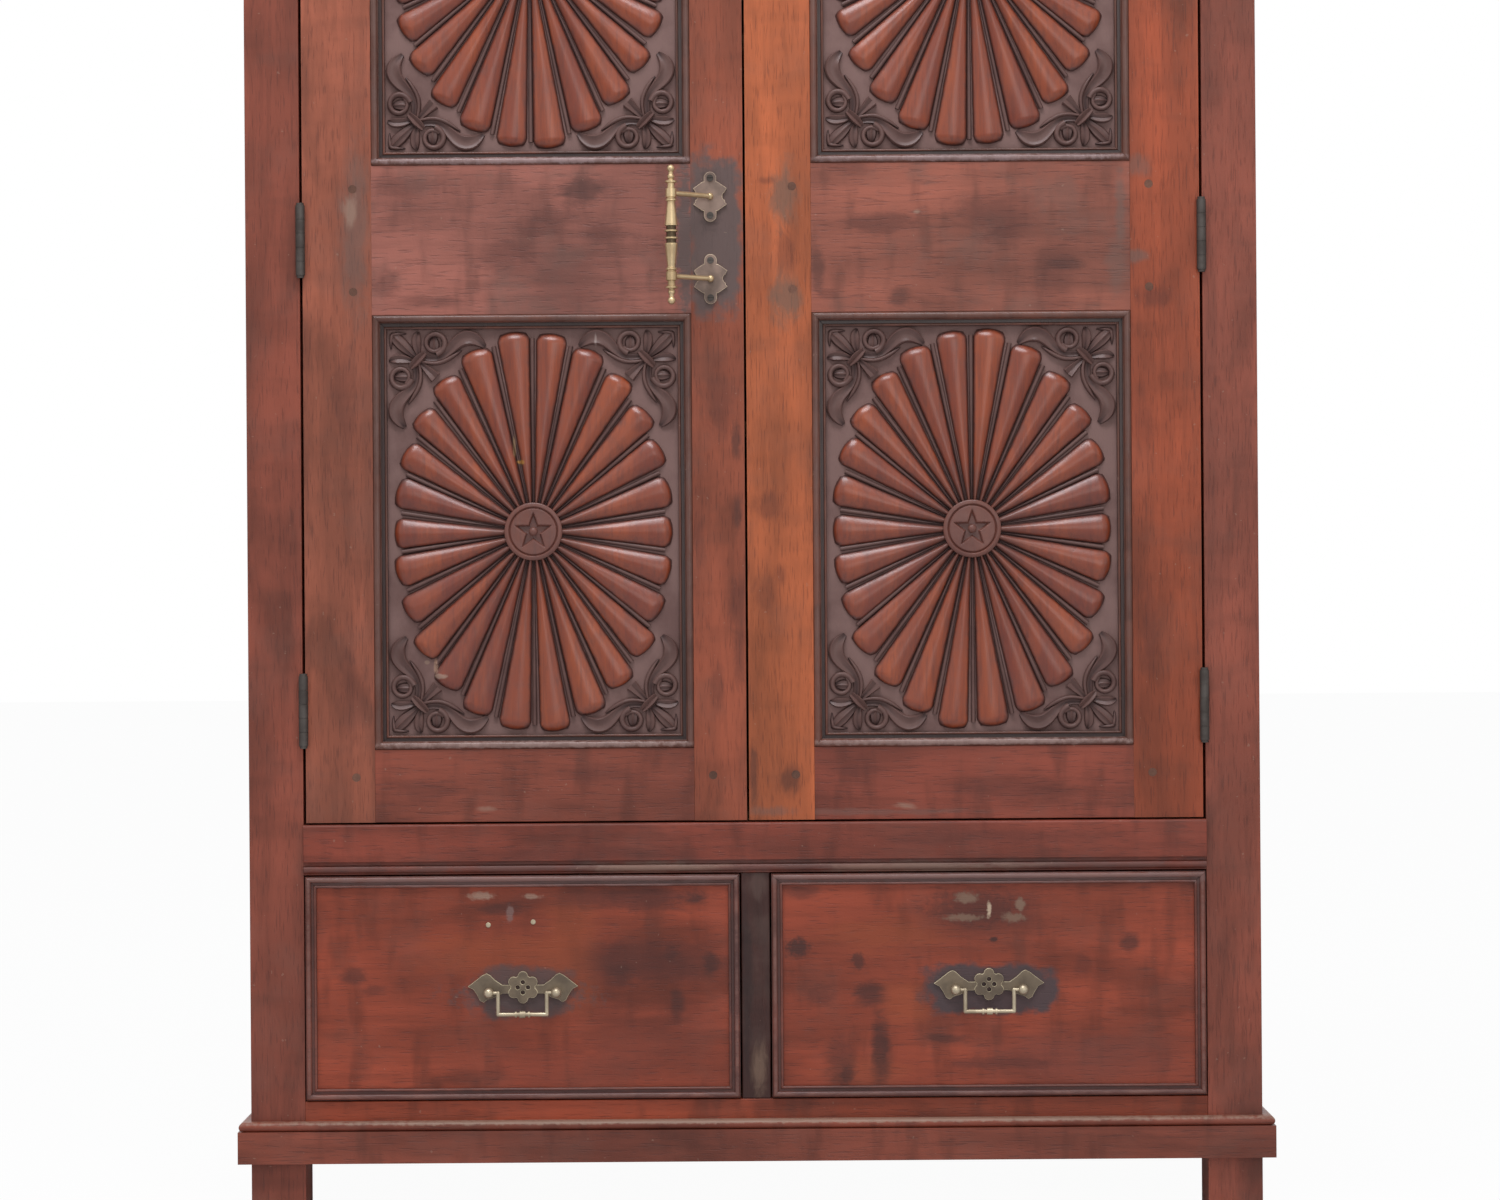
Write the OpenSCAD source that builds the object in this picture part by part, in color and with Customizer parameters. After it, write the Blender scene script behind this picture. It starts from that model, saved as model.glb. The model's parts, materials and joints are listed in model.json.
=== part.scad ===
// Carved two-door cabinet with a pair of drawers under the doors.
// Millimetres, +Z up, the front faces -Y, origin at floor level in the middle of the bounding box.

/* [Case] */
// Width across the outside of the posts
case_w = 1082; // [960:2:1300]
// Depth from the front of the posts to the back of the posts
case_d = 460; // [420:5:560]
// Width and depth of each square post
post_w = 58; // [52:1:72]
// Clear height of the feet under the bottom rails
foot_h = 60; // [30:5:120]
// Height of the bottom rails
bottom_rail_h = 65; // [56:1:90]
// Height of the drawer openings
drawer_open_h = 242; // [190:2:300]
// Height of the rail between the doors and the drawers
mid_rail_h = 54; // [46:1:70]
// How far that rail stands in front of the posts
mid_rail_proud = 5; // [3:0.5:9]
// Height of the door opening
door_open_h = 1250; // [1100:5:1450]
// Height of the top rails
top_rail_h = 60; // [48:1:80]
// Thickness of the front rails
rail_t = 28; // [26:1:34]
// Thickness of the top board
top_t = 22; // [18:1:30]
// Overhang of the top board at the front and the sides
top_over = 28; // [24:1:40]
// Height of the cornice under the top board
cornice_h = 36; // [32:1:44]
// Height of the flat part of the base moulding
plinth_h = 34; // [28:1:40]
// How far the base moulding stands in front of the posts
base_out = 13; // [12:0.5:18]
// Number of shelves behind the doors
shelf_count = 2; // [1:1:3]

/* [Doors] */
// Thickness of the door frames
door_t = 28; // [26:1:32]
// Width of the stiles on the hinge side
hinge_stile_w = 74; // [66:1:84]
// Width of the left door's meeting stile
left_meeting_stile_w = 56; // [52:1:74]
// Width of the right door's meeting stile
right_meeting_stile_w = 70; // [56:1:80]
// Height of the top and bottom rails of the doors
door_end_rail_h = 78; // [66:1:96]
// Height of the lock rail in the middle of the doors
lock_rail_h = 160; // [140:2:200]
// Gap between the two doors
meeting_gap = 2.5; // [2:0.5:4]
// Gap above and below the doors
door_gap = 2; // [1.5:0.5:3]
// Diameter of the wooden pegs through the tenons
peg_d = 9; // [7:0.5:11]
// Height of one hinge
hinge_h = 75; // [60:1:90]
// Distance of the end hinges' middles from the ends of the doors
hinge_inset = 120; // [90:5:200]

/* [Carved panels] */
// Petals round the boss
petal_count = 26; // [22:2:28]
// Width of the widest petals near their ends
petal_w = 33; // [28:1:36]
// Width of the grooves between the side petals near their ends
groove_w = 8; // [6:0.5:10]
// Width of the grooves at the boss
boss_groove_w = 3; // [2:0.5:3.5]
// Height of the petals above the carved ground
relief_h = 8.5; // [6:0.5:9]
// Length of a corner spray along the rails and the stiles
spray_l = 105; // [90:1:110]
// Height of the corner sprays above the carved ground
spray_h = 6; // [4:0.5:8]
// Diameter of the round boss
boss_d = 62; // [52:1:74]
// Points of the hollow star in the boss
star_points = 5; // [4:1:6]
// Width of the moulding round each panel
moulding_w = 15; // [13:0.5:18]
// How far the moulding stands in front of the door frame
moulding_proud = 2.5; // [1:0.5:4]

/* [Drawers] */
// Width of the upright between the drawers
divider_w = 31; // [26:1:44]
// Gap round the drawer fronts
drawer_gap = 1.5; // [1:0.5:3]
// Thickness of the drawer fronts
drawer_front_t = 22; // [20:1:28]
// Length of the drawers from front to back
drawer_len = 380; // [330:5:380]
// Height of the drawer sides
drawer_side_h = 190; // [120:2:200]
// Width of the moulding round the drawer fronts
drawer_moulding_w = 12; // [10:0.5:16]

/* [Handles] */
// Length of the turned bar of the door pull
pull_l = 148; // [130:1:170]
// Distance of the bar in front of the door
pull_out = 41; // [34:1:50]
// Distance of the pull's plates from the meeting edge of the door
pull_inset = 35; // [30:1:38]
// Spacing of the two plates of the door pull
pull_span = 88; // [80:1:96]
// Spacing of the posts of a drawer handle
bail_span = 72; // [66:1:80]
// Drop of a drawer handle's bar under its pivots
bail_drop = 23; // [18:0.5:28]

/* [Hidden] */
$fn = 48;
pull_bar_r = 7;
pull_reach = pull_out + pull_bar_r;
half_case = case_w / 2;
half_open = half_case - post_w;
front_y = (max(pull_reach, top_over) - case_d) / 2;
back_y = front_y + case_d;

// Levels
drawer_z = foot_h + bottom_rail_h;
mid_z = drawer_z + drawer_open_h;
door_open_z = mid_z + mid_rail_h;
top_rail_z = door_open_z + door_open_h;
top_z = top_rail_z + top_rail_h;

// Cornice and base moulding
cornice_setback = 6;
cornice_out = top_over - cornice_setback;
cornice_foot = 8;
base_cap_w = 7;
base_cap_h = 10;
base_bead_r = 5;

// Frame joints
tenon_l = 26;
tenon_t = 12;
tenon_shoulder = 8;
tenon_setback = 8;
side_inset = 6;
side_rail_t = 24;
side_panel_t = 10;
back_board_t = 12;
back_rail_t = 22;
back_rail_y = back_y - 2 - back_board_t - back_rail_t;
groove = 8;
slack = 1;
board_t = 18;
stop_h = 12;
mitre_gap = 0.1;
floor_z = door_open_z + stop_h - board_t;

// Doors
hinge_gap = 3;
door_h = door_open_h - 2 * door_gap;
door_z = door_open_z + door_gap;
stiles_w = 2 * hinge_stile_w + left_meeting_stile_w + right_meeting_stile_w;
panel_open_w = (2 * (half_open - hinge_gap) - meeting_gap - stiles_w) / 2;
panel_open_h = (door_h - 2 * door_end_rail_h - lock_rail_h) / 2;
left_door_w = hinge_stile_w + panel_open_w + left_meeting_stile_w;
right_door_w = hinge_stile_w + panel_open_w + right_meeting_stile_w;
ground_y = 10;
panel_t = 10;
door_groove = 10;
door_tenon_l = 38;
door_tenon_margin = door_groove + 3;
lower_panel_z = door_end_rail_h;
lock_rail_z = door_end_rail_h + panel_open_h;
upper_panel_z = lock_rail_z + lock_rail_h;
top_end_rail_z = upper_panel_z + panel_open_h;
peg_inset = 20;
lock_peg_inset = 25;
peg_clear = 0.05;

// Hinges
knuckle_r = 5;
hinge_pin_r = 2.5;
pin_clear = 0.05;
leaf_t = 2;
leaf_gap = 0.4;
leaf_d = 22;
let_in = (2 * leaf_t + leaf_gap - hinge_gap) / 2;
axis_out = knuckle_r + 0.3;
knuckles = 5;
knuckle_gap = 0.3;
hinge_zs = [hinge_inset, door_h / 2, door_h - hinge_inset];

// Carving
field_w = panel_open_w - 2 * moulding_w;
field_h = panel_open_h - 2 * moulding_w;
boss_r = boss_d / 2;
boss_h = 6.5;
petal_rx = field_w / 2 - 8;
petal_rz = field_h / 2 - 1;
end_l = 12;

// Drawers
drawer_w = half_open - divider_w / 2 - 2 * drawer_gap;
drawer_x = (half_open + divider_w / 2) / 2;
drawer_foot_z = drawer_z + drawer_gap;
drawer_front_h = drawer_open_h - 2 * drawer_gap;
drawer_side_t = 14;
drawer_bottom_t = 8;
drawer_bottom_z = drawer_foot_z + 10;
drawer_lap = 8;
drawer_back_y = front_y + drawer_len;
handle_z = drawer_foot_z + drawer_front_h / 2;
handle_plate_t = 3;
post_ball_r = 5.5;
pivot_out = handle_plate_t + 9;
pivot_z = handle_z - 5;
pivot_r = 1.8;
bail_r = 2.2;
bail_half = bail_span / 2 - 10;

// Door pull, in the left door's own coordinates
pull_plate_t = 3;
pull_arm_r = 3;
pull_plate_x = left_door_w - pull_inset;
pull_bar_x = pull_plate_x - pull_out;
pull_z = lock_rail_z + lock_rail_h / 2;
screw_r = 2;
screw_l = 16;
screw_clear = 0.05;
screw_end_gap = 0.2;
ear_z = 20;

// A box between two corners
module span(a, b) {
    translate(a) cube(b - a);
}

// What stands on the left, or its mirror image on the right
module on_side(right) {
    mirror([right ? 1 : 0, 0, 0]) children();
}

module on_both_sides() {
    children();
    mirror([1, 0, 0]) children();
}

// Case

module front_tenon(z0, z1, deeper = 0) {
    span([-half_open - tenon_l - deeper, front_y + tenon_setback, z0 + tenon_shoulder],
         [-half_open, front_y + tenon_setback + tenon_t, z1 - tenon_shoulder]);
}

module back_tenon(z0, z1, deeper = 0) {
    span([-half_open - tenon_l - deeper, back_rail_y + 5, z0 + tenon_shoulder],
         [-half_open, back_rail_y + 5 + tenon_t, z1 - tenon_shoulder]);
}

module side_tenon(y0, y1, z0, z1) {
    span([-half_case + side_inset + 6, y0, z0 + tenon_shoulder],
         [-half_case + side_inset + 6 + tenon_t, y1, z1 - tenon_shoulder]);
}

side_rail_levels = [[foot_h, drawer_z], [mid_z, floor_z], [top_rail_z, top_z]];
side_panel_levels = [[drawer_z, mid_z], [floor_z, top_rail_z]];
side_panel_x = -half_case + side_inset + 7;

module side_joints(y0, y1) {
    for (level = side_rail_levels)
        side_tenon(y0 - slack, y1 + slack, level[0], level[1]);
}

module side_grooves(y0, y1) {
    for (level = side_panel_levels)
        span([side_panel_x, y0, level[0] - groove],
             [side_panel_x + side_panel_t, y1, level[1] + groove]);
}

// The left front post; the right one is its mirror image
module front_post() {
    inner_y = front_y + post_w;
    difference() {
        span([-half_case, front_y, 0], [-half_open, inner_y, top_z]);
        front_tenon(foot_h, drawer_z, slack);
        front_tenon(mid_z, door_open_z, slack);
        front_tenon(top_rail_z, top_z, slack);
        side_joints(inner_y - tenon_l, inner_y);
        side_grooves(inner_y - groove, inner_y + slack);
        for (z = hinge_zs)
            span([-half_open - let_in, front_y - slack, door_z + z - hinge_h / 2],
                 [-half_open + slack, front_y + leaf_d, door_z + z + hinge_h / 2]);
    }
}

module back_post() {
    inner_y = back_y - post_w;
    difference() {
        span([-half_case, inner_y, 0], [-half_open, back_y, top_z]);
        back_tenon(foot_h, drawer_z, slack);
        back_tenon(mid_z, floor_z, slack);
        back_tenon(top_rail_z, top_z, slack);
        side_joints(inner_y, inner_y + tenon_l);
        side_grooves(inner_y - slack, inner_y + groove);
    }
}

module plain_front_rail(z0, z1) {
    span([-half_open, front_y, z0], [half_open, front_y + rail_t, z1]);
    on_both_sides() front_tenon(z0, z1);
}

module top_front_rail() {
    plain_front_rail(top_rail_z, top_z);
}

module divider_tenon(z0, z1) {
    span([-divider_w / 2 + 6, front_y + tenon_setback, z0],
         [divider_w / 2 - 6, front_y + tenon_setback + tenon_t, z1]);
}

module bottom_front_rail() {
    difference() {
        plain_front_rail(foot_h, drawer_z);
        divider_tenon(drawer_z - 13, drawer_z + slack);
    }
}

module drawer_divider() {
    span([-divider_w / 2, front_y, drawer_z], [divider_w / 2, front_y + rail_t, mid_z]);
    divider_tenon(drawer_z - 12, drawer_z);
    divider_tenon(mid_z, mid_z + 12);
}

// Section of the proud rail: eased top edge, hollow and bead along the lower edge
module mid_rail_section() {
    proud = -mid_rail_proud;
    bead_r = 4;
    translate([proud, 14]) square([mid_rail_proud + rail_t + 11, mid_rail_h - 17]);
    translate([proud + 3, mid_rail_h - 3.01]) square([mid_rail_proud + rail_t + 8, 3.01]);
    translate([proud + 3, mid_rail_h - 3]) circle(3);
    square([rail_t + 11, 14.01]);
    translate([0, 2 + bead_r]) circle(bead_r);
}

module mid_front_rail() {
    difference() {
        union() {
            translate([-half_open, front_y, mid_z])
                rotate([90, 0, 90]) linear_extrude(2 * half_open) mid_rail_section();
            on_both_sides() front_tenon(mid_z, door_open_z);
        }
        span([-half_open - slack, front_y + door_t + 1, floor_z],
             [half_open + slack, front_y + rail_t + 20, door_open_z + slack]);
        divider_tenon(mid_z - slack, mid_z + 13);
    }
}

module side_rail(z0, z1) {
    front = front_y + post_w;
    back = back_y - post_w;
    x0 = -half_case + side_inset;
    difference() {
        union() {
            span([x0, front, z0], [x0 + side_rail_t, back, z1]);
            side_tenon(front - tenon_l, back + tenon_l, z0, z1);
        }
        side_grooves(front - slack, back + slack);
    }
}

module side_rails() {
    on_both_sides() for (level = side_rail_levels) side_rail(level[0], level[1]);
}

module side_panels() {
    reach = groove - slack;
    on_both_sides() for (level = side_panel_levels)
        span([side_panel_x, front_y + post_w - reach, level[0] - reach],
             [side_panel_x + side_panel_t, back_y - post_w + reach, level[1] + reach]);
}

module back_rails() {
    for (level = side_rail_levels) {
        span([-half_open, back_rail_y, level[0]], [half_open, back_rail_y + back_rail_t, level[1]]);
        on_both_sides() back_tenon(level[0], level[1]);
    }
}

back_board_count = 6;

module back_boards() {
    pitch = 2 * half_open / back_board_count;
    for (i = [0 : back_board_count - 1])
        span([-half_open + i * pitch + 0.3, back_rail_y + back_rail_t, foot_h],
             [-half_open + (i + 1) * pitch - 0.3, back_y - 2, top_z]);
}

module top_board() {
    nose = 5;
    span([-half_case - top_over, front_y - top_over, top_z],
         [half_case + top_over, back_y, top_z + top_t - nose]);
    span([-half_case - top_over + nose, front_y - top_over + nose, top_z],
         [half_case + top_over - nose, back_y, top_z + top_t]);
}

// Three mitred strips round the front and the sides of the case; the section grows outwards along X
module case_strips(z, reach) {
    far = 400;
    translate([0, 0, z]) {
        difference() {
            translate([half_case + reach, front_y, 0])
                rotate([90, 0, -90]) linear_extrude(2 * (half_case + reach)) children();
            on_both_sides() translate([-half_case + mitre_gap, front_y, -slack])
                rotate([0, 0, 135]) translate([0, -far / 2, 0]) cube(far);
        }
        on_both_sides() difference() {
            translate([-half_case, front_y - reach, 0])
                rotate([90, 0, 180]) linear_extrude(case_d + reach) children();
            translate([-half_case, front_y + mitre_gap, -slack])
                rotate([0, 0, -45]) translate([0, -far / 2, 0]) cube(far);
        }
    }
}

module cornice_section() {
    difference() {
        square([cornice_out, cornice_h]);
        translate([top_over, cornice_foot]) circle(top_over - 2 * cornice_setback);
        translate([cornice_foot, -slack]) square([top_over, cornice_foot + 2 * slack]);
    }
}

module cornice() {
    case_strips(top_z - cornice_h, cornice_out) cornice_section();
}

module base_section() {
    square([base_out, plinth_h]);
    translate([0, plinth_h - slack]) square([base_cap_w, base_cap_h + slack]);
    translate([base_cap_w, plinth_h + base_bead_r]) circle(base_bead_r);
}

module base_moulding() {
    case_strips(foot_h, base_out) base_section();
}

// A board between the posts, notched round them
module inside_board(y0, z, t) {
    span([-half_open + 0.5, y0, z], [half_open - 0.5, back_rail_y - 0.5, z + t]);
    out = half_case - side_inset - side_rail_t - 0.5;
    span([-out, front_y + post_w + 0.5, z], [out, back_y - post_w - 0.5, z + t]);
}

module cupboard_floor() {
    inside_board(front_y + door_t + 1, floor_z, board_t);
    span([-half_open + 0.5, back_rail_y - slack, floor_z],
         [half_open - 0.5, back_rail_y + back_rail_t, floor_z + board_t]);
}

shelf_pitch = (top_rail_z - floor_z) / (shelf_count + 1);

module shelves() {
    for (i = [1 : shelf_count])
        inside_board(front_y + door_t + 14, floor_z + i * shelf_pitch, board_t);
}

module shelf_cleats() {
    on_both_sides() for (i = [1 : shelf_count])
        span([-half_open, front_y + door_t + 8, floor_z + i * shelf_pitch - 24],
             [-half_open + 20, back_rail_y, floor_z + i * shelf_pitch]);
}

runner_h = 18;
side_runner_w = 34;
middle_runner_w = 32;
guide_h = 22;

module drawer_runners() {
    inner_rail_x = half_case - side_inset - side_rail_t;
    on_both_sides() {
        span([-inner_rail_x, front_y + post_w, drawer_foot_z - runner_h],
             [-half_open + side_runner_w, back_y - post_w, drawer_foot_z]);
        span([-inner_rail_x, front_y + post_w, drawer_foot_z - slack],
             [-half_open, back_y - post_w, drawer_foot_z + guide_h]);
    }
    span([-divider_w / 2 - middle_runner_w, front_y + rail_t, drawer_foot_z - runner_h],
         [divider_w / 2 + middle_runner_w, back_rail_y, drawer_foot_z]);
    span([-divider_w / 2, front_y + rail_t, drawer_foot_z - slack],
         [divider_w / 2, back_rail_y, drawer_foot_z + guide_h]);
}

// Doors: the hinge edge is x = 0, the front face y = 0, the foot z = 0

module place_door(right) {
    on_side(right) translate([-half_open + hinge_gap, front_y, door_z]) children();
}

door_rail_levels = [[0, door_end_rail_h], [lock_rail_z, upper_panel_z], [top_end_rail_z, door_h]];
panel_levels = [lower_panel_z, upper_panel_z];

// Pegs stand one to a joint in the end rails and two to a joint in the lock rail
peg_zs = [door_end_rail_h * 0.62, lock_rail_z + lock_peg_inset, upper_panel_z - lock_peg_inset,
    door_h - door_end_rail_h * 0.62];

module at_pegs(door_w, meeting_w) {
    for (x = [hinge_stile_w - peg_inset, door_w - meeting_w + peg_inset])
        for (z = peg_zs) translate([x, 0, z]) rotate([-90, 0, 0]) children();
}

module peg_holes(door_w, meeting_w) {
    at_pegs(door_w, meeting_w) translate([0, 0, -slack])
        cylinder(r = peg_d / 2 + peg_clear, h = door_t + 2 * slack);
}

module pegs(door_w, meeting_w) {
    at_pegs(door_w, meeting_w) cylinder(r = peg_d / 2, h = door_t);
}

// Mortises and panel grooves, as seen by either stile
module stile_cuts(door_w, meeting_w) {
    x0 = hinge_stile_w;
    x1 = door_w - meeting_w;
    for (level = door_rail_levels)
        span([x0 - door_tenon_l - slack, ground_y, level[0] + door_tenon_margin],
             [x1 + door_tenon_l + slack, ground_y + panel_t, level[1] - door_tenon_margin]);
    for (z = panel_levels)
        span([x0 - door_groove, ground_y, z - door_groove],
             [x1 + door_groove, ground_y + panel_t, z + panel_open_h + door_groove]);
}

module hinge_stile(door_w, meeting_w) {
    difference() {
        span([0, 0, 0], [hinge_stile_w, door_t, door_h]);
        stile_cuts(door_w, meeting_w);
        peg_holes(door_w, meeting_w);
        for (z = hinge_zs)
            span([-slack, -slack, z - hinge_h / 2], [let_in, leaf_d, z + hinge_h / 2]);
    }
}

module meeting_stile(door_w, meeting_w, with_pull) {
    difference() {
        span([door_w - meeting_w, 0, 0], [door_w, door_t, door_h]);
        stile_cuts(door_w, meeting_w);
        peg_holes(door_w, meeting_w);
        if (with_pull) pull_screw_holes();
    }
}

module door_rail(door_w, meeting_w, level, with_pull = false) {
    x0 = hinge_stile_w;
    x1 = door_w - meeting_w;
    difference() {
        union() {
            span([x0, 0, level[0]], [x1, door_t, level[1]]);
            span([x0 - door_tenon_l, ground_y, level[0] + door_tenon_margin],
                 [x1 + door_tenon_l, ground_y + panel_t, level[1] - door_tenon_margin]);
        }
        for (z = panel_levels)
            span([x0 - door_groove, ground_y, z - door_groove],
                 [x1 + door_groove, ground_y + panel_t, z + panel_open_h + door_groove]);
        peg_holes(door_w, meeting_w);
        if (with_pull) pull_screw_holes();
    }
}

// A strip along X with 45 degree ends; its long edge is z = 0 and it grows inwards along +Z
module mitred_strip(len) {
    far = 60;
    difference() {
        translate([-len / 2, 0, 0]) rotate([90, 0, 90]) linear_extrude(len) children();
        on_both_sides() translate([len / 2 - mitre_gap, 0, 0])
            rotate([0, -45, 0]) translate([0, -far / 2, -far / 2]) cube(far);
    }
}

// Four strips round the inside of a w by h rectangle centred on the origin
module strip_frame(w, h) {
    for (turn = [0 : 3])
        rotate([0, 90 * turn, 0]) translate([0, 0, -(turn % 2 == 0 ? h : w) / 2])
            mitred_strip(turn % 2 == 0 ? w : h) children();
}

// Panel moulding: a bead against the door frame, a hollow, and a thin fillet next to the carving
module panel_moulding_section() {
    bead_r = 4;
    bead_y = -ground_y - moulding_proud + bead_r;
    translate([bead_y, 0]) square([-bead_y, 2 * bead_r + 0.5]);
    translate([bead_y, bead_r]) circle(bead_r);
    translate([-4, 0]) square([4, moulding_w]);
    translate([-4, moulding_w - 1.5]) circle(1.5);
}

module place_panel(z) {
    translate([hinge_stile_w + panel_open_w / 2, ground_y, z + panel_open_h / 2]) children();
}

module panel_mouldings() {
    for (z = panel_levels)
        place_panel(z) strip_frame(panel_open_w, panel_open_h) panel_moulding_section();
}

// Carving: centre of the panel at the origin, ground at y = 0, relief towards -Y

// The petals' ends lie on an ellipse, at about even steps along it
function petal_reach(a) = 1 / sqrt(pow(cos(a) / petal_rx, 2) + pow(sin(a) / petal_rz, 2));
function lead(t) = atan2((petal_rz - petal_rx) * sin(t) * cos(t),
    petal_rx * pow(cos(t), 2) + petal_rz * pow(sin(t), 2));
function petal_angle(i) = 360 / petal_count * i + lead(360 / petal_count * i) / 2;
function half_pitch(i) = (petal_angle(i + 0.5) - petal_angle(i - 0.5)) / 2;

module petal(i) {
    a = petal_angle(i);
    reach = petal_reach(a);
    end_r = min(petal_w / 2, (reach - end_l) * tan(half_pitch(i)) - groove_w / 2);
    tip_r = boss_r * tan(half_pitch(i)) - boss_groove_w / 2;
    rotate([0, -a, 0]) hull() {
        translate([boss_r - 3, 0, 0]) scale([1, 5 / tip_r, 1.3]) sphere(tip_r, $fn = 4);
        translate([reach - 0.8 * end_r, 0, 0])
            scale([0.8, relief_h / end_r, 1]) sphere(end_r * 1.04, $fn = 8);
    }
}

// A round boss with a ring groove, a hollowed star and a button
module boss() {
    rotate([90, 0, 0]) difference() {
        rotate_extrude($fn = 13) polygon([[0, 0], [boss_r, 0], [boss_r * 0.94, boss_h],
            [boss_r * 0.86, boss_h], [boss_r * 0.8, boss_h - 2.5], [boss_r * 0.74, boss_h],
            [0, boss_h + 1]]);
        for (k = [0 : star_points - 1]) rotate(90 + 360 / star_points * k)
            translate([boss_r * 0.42, 0, boss_h + 1])
                scale([1, 0.45, 0.4]) sphere(boss_r * 0.34, $fn = 4);
    }
    translate([0, -boss_h, 0]) scale([1, 0.7, 1]) sphere(boss_r * 0.15, $fn = 6);
}

// Strokes of the corner spray: points are [along the rail, along the stile, half width], in hundredths of its
// length
module stroke(points, h) {
    for (i = [0 : len(points) - 2]) hull() for (p = [points[i], points[i + 1]])
        translate([p[0], 0, p[1]]) scale([1, h / p[2], 1.3]) sphere(p[2], $fn = 4);
}

module volute(r) {
    rotate([90, 0, 0]) rotate_extrude($fn = 7) polygon([[r * 0.3, -slack], [r * 0.66, spray_h], [r, -slack]]);
}

scroll = [[34, 29, 2.6], [56, 29, 3.4], [80, 8.5, 6.2], [98, 15, 2.6]];

// One corner, with the corner of the carved field at the origin; it is alike about its diagonal
module corner_spray() {
    part = spray_l / 100;
    stroke([[26, 38, 3.2], [38, 26, 3.2]] * part, spray_h);
    stroke([[26, 26, 4], [9, 9, 5.6]] * part, spray_h);
    stroke([[36, 36, 2.8], [48, 48, 4.6]] * part, spray_h);
    for (swap = [false, true]) mirror(swap ? [1, 0, -1] : [0, 0, 0]) {
        stroke([[33, 24, 3], [31, 6, 4]] * part, spray_h);
        stroke(scroll * part, spray_h);
        translate([49 * part, 0, 14.5 * part]) volute(14.5 * part);
    }
}

module carved_panel() {
    reach = door_groove - slack;
    span([-panel_open_w / 2 - reach, 0, -panel_open_h / 2 - reach],
         [panel_open_w / 2 + reach, panel_t, panel_open_h / 2 + reach]);
    for (i = [0 : petal_count - 1]) petal(i);
    boss();
    for (sx = [0, 1]) for (sz = [0, 1]) mirror([sx, 0, 0]) mirror([0, 0, sz])
        translate([-field_w / 2, 0, -field_h / 2]) corner_spray();
}

module door_panel(z) {
    place_panel(z) carved_panel();
}

// Hinges, in a door's coordinates; the knuckles stand in front of the gap

axis_x = -hinge_gap / 2;
knuckle_pitch = hinge_h / knuckles;

module hinge_leaf(on_door) {
    x0 = on_door ? axis_x + leaf_gap / 2 : axis_x - leaf_gap / 2 - leaf_t;
    for (z = hinge_zs) translate([0, 0, z - hinge_h / 2]) difference() {
        union() {
            span([x0, 0.6, 0], [x0 + leaf_t, leaf_d, hinge_h]);
            for (k = [on_door ? 1 : 0 : 2 : knuckles - 1])
                translate([0, 0, k * knuckle_pitch + knuckle_gap / 2]) {
                    translate([axis_x, -axis_out, 0])
                        cylinder(r = knuckle_r, h = knuckle_pitch - knuckle_gap);
                    span([x0, -axis_out, 0], [x0 + leaf_t, 1, knuckle_pitch - knuckle_gap]);
                }
        }
        translate([axis_x, -axis_out, -slack]) cylinder(r = hinge_pin_r + pin_clear, h = hinge_h + 2);
    }
}

module hinge_pin_set() {
    for (z = hinge_zs) translate([axis_x, -axis_out, z - hinge_h / 2]) {
        cylinder(r = hinge_pin_r, h = hinge_h);
        for (end = [-2.5, hinge_h - knuckle_gap / 2])
            translate([0, 0, end]) cylinder(r = 4, h = 2.5 + knuckle_gap / 2);
    }
}

module hinge_post_leaves() {
    on_both_sides() place_door(false) hinge_leaf(false);
}

module hinge_pins() {
    on_both_sides() place_door(false) hinge_pin_set();
}

// Door pull

// Half of the turned bar, from its middle to its ball end
module pull_bar_half() {
    end = pull_l / 2;
    arm = pull_span / 2;
    rotate_extrude() polygon([[0, 0], [5.2, 0], [5.2, 2.6], [pull_bar_r, 3], [pull_bar_r, 4.6], [5.2, 5],
        [5.2, 9], [6.8, 9.4], [6.8, 11], [4.4, arm - 10.5], [4.4, arm - 9], [5.8, arm - 8.4],
        [5.8, arm - 6.6], [4.6, arm - 6], [4.6, arm - 5], [5.8, arm - 4.4], [5.8, arm + 4.4], [4, arm + 5],
        [4, arm + 10.4], [6.2, arm + 11], [6.2, arm + 12.8], [3, arm + 13.4], [2.4, end - 6], [0, end - 6]]);
    translate([0, 0, arm + 17]) sphere(3.8);
    translate([0, 0, end - 4.2]) sphere(4.2);
}

// The bar stands to the side of the plates, so each arm runs out at a slant
module door_pull_bar() {
    elbow = pull_plate_t + 5;
    translate([pull_bar_x, -pull_out, pull_z]) {
        pull_bar_half();
        mirror([0, 0, 1]) pull_bar_half();
    }
    for (side = [-1, 1]) translate([pull_plate_x, 0, pull_z + side * pull_span / 2]) {
        rotate([90, 0, 0]) cylinder(r = pull_arm_r, h = elbow);
        translate([0, -elbow, 0]) sphere(pull_arm_r + 0.8);
        translate([0, -elbow, 0]) rotate([0, -90, atan2(pull_out - elbow, pull_out)])
            cylinder(r = pull_arm_r - 0.3, h = norm([pull_out - elbow, pull_out]));
    }
}

module pull_plate_outline() {
    difference() {
        union() {
            polygon([[-8, 16], [8, 16], [18, 9], [16, 6], [16, -6], [18, -8], [8, -15], [-8, -15],
                [-18, -8], [-16, -6], [-16, 6], [-18, 9]]);
            for (s = [-1, 1]) translate([0, s * ear_z]) circle(6.6);
            square([13.2, 2 * ear_z], center = true);
        }
        for (s = [-1, 1]) translate([s * 18, 0.5]) circle(5);
        circle(pull_arm_r + 0.05);
        for (s = [-1, 1]) translate([0, s * ear_z]) circle(screw_r + 0.1);
    }
}

module at_pull_plates() {
    for (side = [-1, 1]) translate([pull_plate_x, 0, pull_z + side * pull_span / 2])
        rotate([90, 0, 0]) children();
}

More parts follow.
